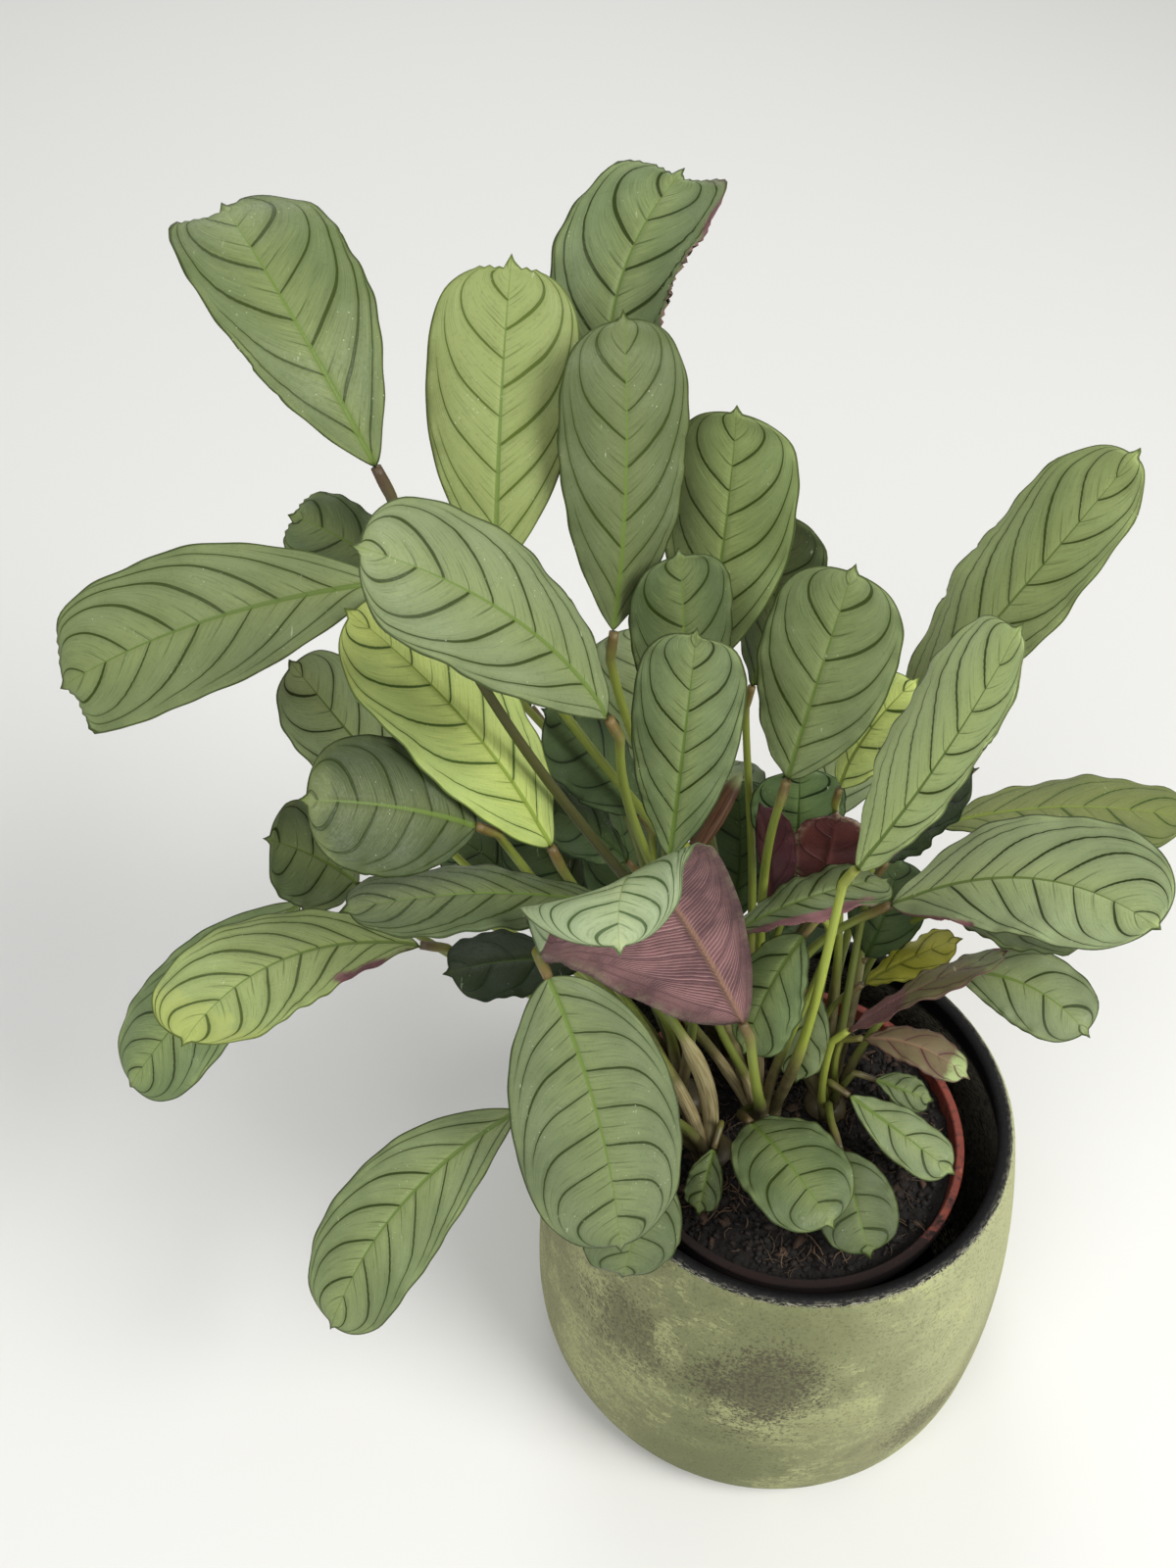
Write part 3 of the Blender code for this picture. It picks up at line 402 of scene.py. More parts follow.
# %% Torn and turned places
# Torn places on the margin: share along the blade, side (-1 left, 1 right), depth in metres, length as a share.
NICKS = {
    "upper_left": ((0.42, -1.0, 0.0016, 0.03), (0.30, -1.0, 0.0010, 0.02), (0.72, 1.0, 0.0006, 0.02)),
    "top_back": ((0.62, 1.0, 0.0050, 0.16), (0.42, 1.0, 0.0030, 0.10), (0.30, -1.0, 0.0008, 0.02)),
    "top_centre": ((0.62, 1.0, 0.0006, 0.01), (0.55, 1.0, 0.0006, 0.01), (0.47, 1.0, 0.0006, 0.01)),
    "right_upper": ((0.34, -1.0, 0.0016, 0.02), (0.52, -1.0, 0.0008, 0.02), (0.60, -1.0, 0.0008, 0.01)),
    "right_mid": ((0.70, 1.0, 0.0030, 0.03), (0.88, 1.0, 0.0015, 0.02)),
    "round_left": ((0.48, 1.0, 0.0014, 0.03), (0.60, -1.0, 0.0008, 0.02)),
    "big_silver": ((0.35, 1.0, 0.0008, 0.02), (0.20, 1.0, 0.0008, 0.02)),
    "purple_back": ((0.60, 1.0, 0.0014, 0.02), (0.50, 1.0, 0.0010, 0.01), (0.40, 1.0, 0.0010, 0.02)),
    "right_big": ((0.25, 1.0, 0.0012, 0.03), (0.38, 1.0, 0.0012, 0.02)),
}
# Torn off ends: how far in metres the end is cut back at places across the blade, from left to right.
TORN_ENDS = {
    "upper_left": ((-0.0245, 0.0), (-0.0205, -0.0060), (-0.014, 0.0010), (-0.006, 0.0046), (0.002, 0.0034),
                   (0.007, 0.0006), (0.012, 0.0)),
    "top_back": ((-0.025, 0.0), (-0.021, -0.0030), (-0.013, 0.0), (-0.003, 0.0022), (0.0, 0.0012),
                 (0.004, 0.0020), (0.011, -0.0012), (0.019, -0.0085), (0.025, -0.0020)),
    "upper_mid_left": ((-0.020, 0.0), (-0.008, 0.0006), (-0.003, 0.0016), (0.0, 0.0), (0.003, 0.0010),
                       (0.016, 0.0)),
    "far_left": ((-0.0250, 0.0), (-0.0212, -0.0040), (-0.016, 0.0018), (-0.0068, 0.0036), (-0.002, 0.0008),
                 (0.002, 0.0), (0.012, 0.0010), (0.020, 0.0)),
    "back_left_small": ((-0.012, 0.0), (0.0, 0.0025), (0.008, 0.0012), (0.015, 0.0)),
}
TORN_RUN = 0.010
# Where a blade is turned over and shows its back: side from and to, share from and to.
TURNED = {
    "young_purple": (-1.0, 1.0, -0.2, 0.46),
    "silver_purple": (0.62, 1.2, 0.05, 0.80),
    "right_big": (0.88, 1.2, 0.02, 0.42),
    "yellow_tip": (-1.2, -0.80, 0.05, 0.42),
    "top_back": (0.90, 1.2, 0.30, 0.95),
    "right_lower": (-1.2, -0.86, 0.0, 0.35),
}
TURNED_SOFTNESS = 0.05
print("torn or turned leaves:", len({*NICKS, *TORN_ENDS, *TURNED}))

# %% [markdown]
# ## One fine blade
# The upper sheet and the lower sheet are two grids, each pressed into the blade's form, and a strip of faces
# bridges their edges. A single sheet with a Solidify modifier would be shorter, but its two sides would match.
# Here the upper sheet sinks at the midrib and the veins, and the lower one bulges into a rib, so the back of a leaf
# reads as a real back. The blade thins to its edge and ends in a small point.

# %% Grid of a blade
COLUMN_SIZE = 0.0015
ROW_SIZE = 0.0018
FEWEST_COLUMNS = 20
FEWEST_ROWS = 26


def blade_square(item):
    """How many columns and rows of faces the grid of a blade has."""
    columns = max(FEWEST_COLUMNS, 2 * round(item.width / COLUMN_SIZE / 2))
    rows = max(FEWEST_ROWS, 2 * round(item.reach / ROW_SIZE / 2))
    return columns, rows


print("largest grid of a blade:", max(blade_square(item) for item in LEAVES))

# %% Torn and turned margins
NICK_WIDTH = 0.35
TORN_JAG = 0.0004
TORN_JAGS = 2100
TORN_LEAST = 0.0005
TURNED_WAVE = 0.03


def nick_depth(item, side, share):
    """How far the margin is torn in, in metres, at the places that NICKS names."""
    depth = np.zeros_like(share)
    for centre, where, deep, length in NICKS.get(item.name, ()):
        near = np.exp(-((share - centre) / length) ** 2) * np.exp(-((side - where) / NICK_WIDTH) ** 2)
        jag = 0.6 + 0.4 * np.sin(share * 310 + 2 * side) * np.sin(share * 127 + 40 * side)
        depth += deep * near * jag
    return depth


def torn_back(item, offset, along):
    """How far back a point lies where the end of the blade is torn off."""
    places, depths = zip(*TORN_ENDS.get(item.name, ((-1.0, 0.0), (1.0, 0.0))))
    shares = np.linspace(0.99, 0.6, 80)
    rooms = item.width / 2 * blade_fullness(item, shares) * (1 + item.lean * np.sign(offset)[:, None])
    edge = np.array([np.interp(abs(o), room, shares) for o, room in zip(offset, rooms)]) * item.reach
    depth = np.interp(offset, places, depths)
    depth = depth + TORN_JAG * np.sin(offset * TORN_JAGS) * (np.abs(depth) > TORN_LEAST)
    return depth * np.clip((along - edge) / TORN_RUN + 1, 0, 1) ** 2


def turned_over(item, side, share):
    """1 where the blade shows its back, fading out over a short way."""
    if item.name not in TURNED:
        return np.zeros_like(share)
    side_from, side_to, share_from, share_to = TURNED[item.name]
    wave = TURNED_WAVE * np.sin(share * 40) + TURNED_WAVE * np.sin(side * 17 + 2)
    nearest = np.minimum.reduce((side - side_from, side_to - side, share - share_from, share_to - share)) + wave
    return np.clip(nearest / TURNED_SOFTNESS, 0, 1)


print("deepest nick:", max(deep for nicks in NICKS.values() for _, _, deep, _ in nicks))

# %% Points of a sheet
BLADE_THICKNESS = 0.0007
EDGE_THICKNESS = 0.00035
POINT_LENGTH = 0.0030
POINT_WIDTH = 0.0010
RIPPLE = 0.0006
RIPPLES = 7.0
RIPPLE_SHIFT = 3.1
SWELL = 0.0012
SWELL_SIZE = 0.022
SWELL_SHIFT = 9.0
UPPER, LOWER = 0, 1


def fine_points(item, phase, x, y, sheet):
    """Points of one sheet of the blade over the square, and each one's place in the leaf."""
    disc_x = x * np.sqrt(1 - y * y / 2)
    disc_y = y * np.sqrt(1 - x * x / 2)
    chord = np.sqrt(np.maximum(1 - disc_y ** 2, 0))
    side = np.clip(disc_x / np.maximum(chord, 1e-6), -1, 1)
    share = (1 + disc_y) / 2
    half = item.width / 2
    room = half * blade_fullness(item, share) * (1 + item.lean * side)
    offset = side * room
    run = share * (1 - POINT_LENGTH / item.reach)
    tangent = unit(midrib(item, run + BLADE_STEP) - midrib(item, run - BLADE_STEP))
    across = blade_across(item)
    across = unit(across - (tangent @ across)[..., None] * tangent)
    normal = np.cross(across, tangent)
    rim = np.maximum(np.abs(x), np.abs(y))

    turn = math.tau * (BLADE_WAVES * share + phase) + math.pi / 2 * (side > 0)
    wave = BLADE_WAVE * np.sin(turn) * side ** 2 * np.sin(math.pi * share)
    ripple = RIPPLE * np.sin(math.tau * (RIPPLES * share + RIPPLE_SHIFT * phase) + side) * rim ** 8
    swell = np.array([noise.noise(Vector((a, b, SWELL_SHIFT * phase)))
                      for a, b in zip(offset / SWELL_SIZE, share * item.reach / SWELL_SIZE)])
    lift = item.cup * half * (offset / half) ** 2 + wave + ripple + SWELL * swell * np.abs(side) ** 0.5
    shift = vein_shift(phase)
    vein = np.exp(-(vein_distance(item, shift, side, share) / VEIN_REACH) ** 2)
    vein *= np.clip(np.abs(side) * 6, 0, 1) * np.clip((1 - rim) * 8, 0, 1)
    lift -= VEIN_DEPTH * vein
    lift -= MIDRIB_GROOVE * np.exp(-(offset / MIDRIB_HALF) ** 2) * (1 - share ** 4)
    thickness = EDGE_THICKNESS + (BLADE_THICKNESS - EDGE_THICKNESS) * (1 - rim ** 10)
    if sheet == UPPER:
        lift += thickness / 2
    else:
        rib = RIB_DEPTH * (1 - share) ** 0.7 * np.exp(-(offset / (RIB_HALF * (1.15 - share))) ** 2)
        lift -= thickness / 2 + rib * np.clip((1 - rim) * 12, 0, 1)

    tip = np.exp(-((offset ** 2 + ((1 - share) * item.reach) ** 2) / POINT_WIDTH ** 2))
    pull = offset * (1 - nick_depth(item, side, share) / half * np.abs(side) ** 2)
    back = torn_back(item, offset, share * item.reach)
    points = midrib(item, run) + across * pull[..., None] + normal * lift[..., None]
    points += tangent * (POINT_LENGTH * tip - back)[..., None]
    margin = np.minimum(room - np.abs(offset), (1 - share) * item.reach)
    return points, np.stack((disc_x, disc_y, offset), 1), margin, turned_over(item, side, share)


def vein_shift(phase):
    """A different start of the veins for each leaf."""
    return (phase * 1.7) % 1.0


print("start of the second leaf's veins:", round(vein_shift(BLADE_WAVE_SHIFT), 3))

# %% From points to a piece
COLUMN_CROWDING = 1.3


def add_sheet(shape, item, phase, sheet):
    """One pressed grid, with its values for the material at each point. It gives back its border edges."""
    columns, rows = blade_square(item)
    before = len(shape.faces)
    made = bmesh.ops.create_grid(shape, x_segments=columns, y_segments=rows, size=1.0, calc_uvs=False)
    square = np.array([vertex.co for vertex in made["verts"]])
    x = np.sign(square[:, 0]) * np.abs(square[:, 0]) ** COLUMN_CROWDING
    points, places, margins, turns = fine_points(item, phase, x, square[:, 1], sheet)
    place = shape.verts.layers.float_vector["place"]
    margin = shape.verts.layers.float["margin"]
    turned = shape.verts.layers.float["turned"]
    for number, vertex in enumerate(made["verts"]):
        vertex.co = points[number]
        vertex[place] = places[number]
        vertex[margin] = margins[number]
        vertex[turned] = turns[number]
    shape.faces.ensure_lookup_table()
    faces = shape.faces[before:]
    for face in faces:
        face.material_index = sheet
    if sheet == LOWER:
        bmesh.ops.reverse_faces(shape, faces=faces)
    return [edge for face in faces for edge in face.edges if edge.is_boundary]


def new_object(name, shape):
    """A bmesh as an object at the origin."""
    mesh = bpy.data.meshes.new(name)
    shape.to_mesh(mesh)
    shape.free()
    item = bpy.data.objects.new(name, mesh)
    bpy.context.scene.collection.objects.link(item)
    return item


def new_piece(name, shape, materials):
    """A finished smooth object that rides on the part's one body."""
    piece = new_object(name, shape)
    piece.data.shade_smooth()
    for material in materials:
        piece.data.materials.append(material)
    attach(piece, "root")
    return piece


def set_values(piece, **values):
    """Plain numbers that a material can read from the piece, the same at all its points."""
    for name, value in values.items():
        layer = piece.data.attributes.new(name, "FLOAT", "POINT")
        layer.data.foreach_set("value", [value] * len(piece.data.vertices))


print("points of the smallest sheet:", (FEWEST_COLUMNS + 1) * (FEWEST_ROWS + 1))

# %% One whole blade
SPREAD_STEP = 0.618


def spread_value(number, low, width):
    """A value between low and low + width that differs well from one number to the next."""
    return low + width * ((number * SPREAD_STEP) % 1.0)


def fine_blade(item, number, materials):
    phase = BLADE_WAVE_SHIFT * number
    shape = bmesh.new()
    shape.verts.layers.float_vector.new("place")
    shape.verts.layers.float.new("margin")
    shape.verts.layers.float.new("turned")
    border = set(add_sheet(shape, item, phase, UPPER)) | set(add_sheet(shape, item, phase, LOWER))
    bmesh.ops.bridge_loops(shape, edges=list(border))
    for face in shape.faces:
        if face.material_index not in (UPPER, LOWER):
            face.material_index = LOWER
    bmesh.ops.recalc_face_normals(shape, faces=shape.faces)
    piece = new_piece("blade_" + item.name, shape, materials)
    tone = TONES_WITH_PAINTED_LIGHT.get(item.name, spread_value(number, 0.3, 0.3))
    # The light value is the leaf's lightness, which is partly painted light and shade.
    set_values(piece, reach=item.reach, slant=vein_slant(item), pairs=vein_pairs(item), shift=vein_shift(phase),
               tone=tone, yellow=YELLOW_TIPS.get(item.name, 0.0), fresh=FRESHNESS.get(item.name, 0.0),
               light=LIGHTNESS_WITH_PAINTED_LIGHT.get(item.name, 1.0), number=float(number))
    return piece


print("tone of a leaf without a note:", round(spread_value(1, 0.3, 0.3), 3))

# %% [markdown]
# ## Small helpers for materials
# A material is a tree of nodes. These helpers add a node, do one sum, or mix two colours, and give back the socket
# that the next node needs, so each finish below reads like a recipe.

# %% Colours and nodes


def colour(red, green, blue):
    """A colour from 0-255 screen numbers to the linear numbers that a shader takes."""
    parts = [value / 255 for value in (red, green, blue)]
    return [v / 12.92 if v <= 0.04045 else ((v + 0.055) / 1.055) ** 2.4 for v in parts] + [1.0]


def fill_inputs(tree, node, inputs):
    """Join an input to the socket that is given for it, or set it to the plain value."""
    for name, value in inputs.items():
        if isinstance(value, bpy.types.NodeSocket):
            tree.links.new(value, node.inputs[name])
        else:
            node.inputs[name].default_value = value


def put(tree, kind, inputs=None, output=0, **options):
    """Add a node, set its options, fill its inputs, and give back one of its outputs."""
    node = tree.nodes.new("ShaderNode" + kind)
    for name, value in options.items():
        setattr(node, name, value)
    fill_inputs(tree, node, inputs or {})
    return node.outputs[output]


def calc(tree, operation, *values, clamp=False):
    return put(tree, "Math", dict(enumerate(values)), operation=operation, use_clamp=clamp)


def blend(tree, factor, first, second, kind="MIX"):
    inputs = {0: factor, 6: first, 7: second}
    return put(tree, "Mix", inputs, output=2, data_type="RGBA", blend_type=kind, clamp_factor=True)


def fade(tree, value, low, high, start=0.0, end=1.0):
    """Smoothly from start, where the value is low, to end, where it is high."""
    inputs = {0: value, 1: low, 2: high, 3: start, 4: end}
    return put(tree, "MapRange", inputs, interpolation_type="SMOOTHSTEP")


def grain(tree, place, scale, detail=3.0, rough=0.5, distortion=0.0):
    inputs = {"Vector": place, "Scale": scale, "Detail": detail, "Roughness": rough, "Distortion": distortion}
    return put(tree, "TexNoise", inputs, output="Fac")


print("a leaf green as linear numbers:", [round(part, 3) for part in colour(127, 140, 102)])

# %% Groups and materials


def new_group(name, inputs, outputs):
    """An empty node group with named inputs, as name: (kind, value), and outputs, as name: kind."""
    tree = bpy.data.node_groups.new(name, "ShaderNodeTree")
    for label, (kind, value) in inputs.items():
        socket = tree.interface.new_socket(label, in_out="INPUT", socket_type="NodeSocket" + kind)
        if value is not None:
            socket.default_value = value
    for label, kind in outputs.items():
        tree.interface.new_socket(label, in_out="OUTPUT", socket_type="NodeSocket" + kind)
    return tree, tree.nodes.new("NodeGroupInput").outputs, tree.nodes.new("NodeGroupOutput").inputs


def use_group(tree, group, inputs):
    """Place a node group in a material and give back its outputs."""
    node = tree.nodes.new("ShaderNodeGroup")
    node.node_tree = group
    fill_inputs(tree, node, inputs)
    return node.outputs


def new_material(name):
    material = bpy.data.materials.new(name)
    material.use_nodes = True
    tree = material.node_tree
    return material, tree, tree.nodes["Principled BSDF"]


def finish(tree, shader, base, rough, height, strength, distance):
    """Join the colour, the roughness and the relief to the shader."""
    tree.links.new(base, shader.inputs["Base Color"])
    tree.links.new(rough, shader.inputs["Roughness"])
    inputs = {"Strength": strength, "Distance": distance, "Height": height}
    tree.links.new(put(tree, "Bump", inputs), shader.inputs["Normal"])


def attribute(tree, name):
    return put(tree, "Attribute", output="Fac", attribute_name=name, attribute_type="GEOMETRY")


def object_place(tree):
    return put(tree, "TexCoord", output="Object")


print("materials so far:", len(bpy.data.materials))

# %% [markdown]
# ## Finding the way on a blade
# The material has to know where it is on the leaf: how far along and how far across. Each point of the mesh carries
# its place on the disc, its distance from the midrib and its distance from the margin. On the disc the numbers run
# smoothly, also at the tip, and this group turns them into a side from -1 to 1 and a share from 0 to 1.

# %% Node group: place on the blade
PLACE, PLACE_IN, PLACE_OUT = new_group(
    "blade place", {"Place": ("Vector", None)}, {"Side": "Float", "Share": "Float", "Offset": "Float"},
)
SMALLEST_CHORD = 0.01


def fill_place_group(tree, source, target):
    split = tree.nodes.new("ShaderNodeSeparateXYZ")
    tree.links.new(source["Place"], split.inputs[0])
    disc_x, disc_y = split.outputs[0], split.outputs[1]
    squared = calc(tree, "SUBTRACT", 1.0, calc(tree, "MULTIPLY", disc_y, disc_y))
    chord = calc(tree, "MAXIMUM", calc(tree, "SQRT", calc(tree, "MAXIMUM", squared, 0.0)), SMALLEST_CHORD)
    tree.links.new(calc(tree, "DIVIDE", disc_x, chord), target["Side"])
    tree.links.new(calc(tree, "MULTIPLY_ADD", disc_y, 0.5, 0.5), target["Share"])
    tree.links.new(split.outputs[2], target["Offset"])


fill_place_group(PLACE, PLACE_IN, PLACE_OUT)
print("nodes that find the place:", len(PLACE.nodes))

# %% [markdown]
# ## Drawing the veins
# The same level formula as in the mesh, with a little noise so that no two gaps are alike. Dividing by the slope
# of the level gives a true width in metres: a vein is thin at the midrib, thickest half way, and thin again where
# it follows the margin. Short faint veins stand between the main ones, close to the midrib. A painted picture could
# hold all this too, but a formula stays sharp at any distance and differs on every leaf.

# %% Node group: veins
VEINS, VEINS_IN, VEINS_OUT = new_group(
    "blade veins",
    {"Side": ("Float", 0.0), "Share": ("Float", 0.5), "Reach": ("Float", 0.1), "Pairs": ("Float", 8.0),
     "Slant": ("Float", 0.2), "Shift": ("Float", 0.0), "Number": ("Float", 0.0),
     "Vein Half Width": ("Float", 0.0006)},
    {"Veins": "Float", "Shade": "Float", "Feathers": "Float", "Level": "Float"},
)
VEIN_END_FIRST = 0.88
VEIN_END_SPREAD = 0.14
VEIN_WANDER = 0.035
VEIN_WANDER_SCALE = 2.6
VEIN_WIDTH_LEAST = 0.58
VEIN_WIDTH_SPREAD = 0.70
VEIN_SHADE_WIDTH = 3.6
FEATHER_WIDTH = 0.6
SMALLEST_SIDE = 0.001
LENGTH_TO_HALF_WIDTH = 4.2
NUMBER_STEP = 37.0


def fill_vein_group(tree, source, target):
    reach = calc(tree, "ABSOLUTE", source["Side"])
    near = calc(tree, "MAXIMUM", reach, SMALLEST_SIDE)
    slant = calc(tree, "MULTIPLY", calc(tree, "POWER", near, VEIN_SLANT_CURVE), source["Slant"])
    turn = calc(tree, "MULTIPLY", calc(tree, "POWER", near, VEIN_TURN_CURVE), VEIN_TURN)
    level = calc(tree, "SUBTRACT", source["Share"], calc(tree, "ADD", slant, turn))
    spot = put(tree, "CombineXYZ", {0: source["Side"], 1: source["Share"], 2: source["Number"]})
    wander = calc(tree, "SUBTRACT", grain(tree, spot, VEIN_WANDER_SCALE, detail=1.0), 0.5)
    wander = calc(tree, "MULTIPLY", wander, calc(tree, "MULTIPLY", near, VEIN_WANDER))
    level = calc(tree, "ADD", level, wander)
    other = calc(tree, "MULTIPLY", calc(tree, "GREATER_THAN", source["Side"], 0.0), 0.5)
    count = calc(tree, "MULTIPLY_ADD", level, source["Pairs"], calc(tree, "ADD", source["Shift"], other))

    slanting = calc(tree, "MULTIPLY", calc(tree, "POWER", near, VEIN_SLANT_CURVE - 1), source["Slant"])
    turning = calc(tree, "MULTIPLY", calc(tree, "POWER", near, VEIN_TURN_CURVE - 1), VEIN_TURN * VEIN_TURN_CURVE)
    slope = calc(tree, "MULTIPLY_ADD", slanting, VEIN_SLANT_CURVE, turning)
    slope = calc(tree, "MULTIPLY", slope, LENGTH_TO_HALF_WIDTH)
    steep = calc(tree, "SQRT", calc(tree, "MULTIPLY_ADD", slope, slope, 1.0))
    step = calc(tree, "DIVIDE", source["Reach"], calc(tree, "MULTIPLY", source["Pairs"], steep))

    def line(offset, half_width, soft):
        """1 on the vein and 0 away from it, for veins that stand offset of a gap further on."""
        place = calc(tree, "FRACT", calc(tree, "ADD", count, offset))
        away = calc(tree, "MULTIPLY", calc(tree, "ABSOLUTE", calc(tree, "SUBTRACT", place, 0.5)), step)
        return fade(tree, away, calc(tree, "MULTIPLY", half_width, 1 - soft),
                    calc(tree, "MULTIPLY", half_width, 1 + soft), 1.0, 0.0)

    whole = calc(tree, "FLOOR", count)
    number = calc(tree, "ADD", whole, calc(tree, "MULTIPLY_ADD", source["Number"], NUMBER_STEP, other))
    chance = put(tree, "TexWhiteNoise", {"W": number}, noise_dimensions="1D")
    swollen = fade(tree, reach, 0.0, 0.30, 0.72, 1.0)
    thin = fade(tree, reach, 0.50, 0.90, 1.0, 0.34)
    half = calc(tree, "MULTIPLY", calc(tree, "MULTIPLY", swollen, thin), source["Vein Half Width"])
    half = calc(tree, "MULTIPLY", half, calc(tree, "MULTIPLY_ADD", chance, VEIN_WIDTH_SPREAD, VEIN_WIDTH_LEAST))
    end = calc(tree, "MULTIPLY_ADD", chance, VEIN_END_SPREAD, VEIN_END_FIRST)
    inside = calc(tree, "MULTIPLY", fade(tree, level, -0.10, -0.04), fade(tree, level, 0.93, 0.97, 1.0, 0.0))
    inside = calc(tree, "MULTIPLY", inside, fade(tree, reach, calc(tree, "SUBTRACT", end, 0.10), end, 1.0, 0.0))
    veins = calc(tree, "MULTIPLY", line(0.0, half, 0.35), inside)
    shade = calc(tree, "MULTIPLY", line(0.0, calc(tree, "MULTIPLY", half, VEIN_SHADE_WIDTH), 0.9), inside)
    short = calc(tree, "MULTIPLY", fade(tree, reach, 0.10, 0.42, 1.0, 0.0), inside)
    feathers = calc(tree, "MULTIPLY", line(0.5, calc(tree, "MULTIPLY", half, FEATHER_WIDTH), 0.8), short)
    tree.links.new(veins, target["Veins"])
    tree.links.new(shade, target["Shade"])
    tree.links.new(feathers, target["Feathers"])
    tree.links.new(level, target["Level"])


fill_vein_group(VEINS, VEINS_IN, VEINS_OUT)
print("nodes that draw the veins:", len(VEINS.nodes))

# %% [markdown]
# ## The upper side of a blade
# The face of the leaf is a matt silver green with dark veins. It is lighter and yellower along the margin and the
# tip, with a thin dark line on the very edge, a green midrib, fine streaks that follow the veins, light specks and
# old scratches. Where an edge is turned over, the purple of the back is mixed in. One recipe makes all kinds: only
# the colours differ.

# %% What both sides share
LEAF_GLOSS = 0.25
MARGIN_LINE = 0.0005
MARGIN_ZONE = 0.0040
MIDRIB_HALF_COLOUR = 0.0007
VEIN_HALF_COLOUR = 0.00050
STREAKS = 130.0
PLEATS = 8.0
YOUNG_GREEN = colour(154, 167, 88)
YOUNG_VEIN = colour(84, 102, 22)
SCRATCH_PALE = colour(206, 212, 182)
MAUVE_LIGHT = colour(126, 82, 87)
MAUVE_DARK = colour(84, 50, 57)
MAUVE_PLEAT = colour(172, 142, 132)
MAUVE_RIB = colour(132, 98, 78)


def blade_sockets(tree):
    """The place on the blade and its veins, for one material."""
    place = put(tree, "Attribute", output="Vector", attribute_name="place", attribute_type="GEOMETRY")
    spot = use_group(tree, PLACE, {"Place": place})
    veins = use_group(tree, VEINS, {
        "Side": spot["Side"], "Share": spot["Share"], "Reach": attribute(tree, "reach"),
        "Pairs": attribute(tree, "pairs"), "Slant": attribute(tree, "slant"), "Shift": attribute(tree, "shift"),
        "Number": attribute(tree, "number"), "Vein Half Width": VEIN_HALF_COLOUR,
    })
    return spot, veins, attribute(tree, "margin")


def pleated_back(tree, place, veins, dark, light, pleat, strength):
    """The colour of a leaf's back: purple with fine pale pleats along the levels of the veins."""
    patches = grain(tree, place, 60.0, detail=4.0, rough=0.6)
    base = blend(tree, fade(tree, patches, 0.3, 0.7), dark, light)
    line_place = calc(tree, "MULTIPLY", veins["Level"], calc(tree, "MULTIPLY", attribute(tree, "pairs"), PLEATS))
    wobble = calc(tree, "MULTIPLY", grain(tree, place, 120.0), 0.7)
    pleats = calc(tree, "PINGPONG", calc(tree, "ADD", line_place, wobble), 0.5)
    shown = calc(tree, "MULTIPLY", fade(tree, pleats, 0.28, 0.5), fade(tree, patches, 0.30, 0.62, 0.45, 1.0))
    return blend(tree, calc(tree, "MULTIPLY", shown, strength), base, pleat), pleats


print("width of a main vein in millimetres:", round(2000 * VEIN_HALF_COLOUR, 2))

# %% Upper side


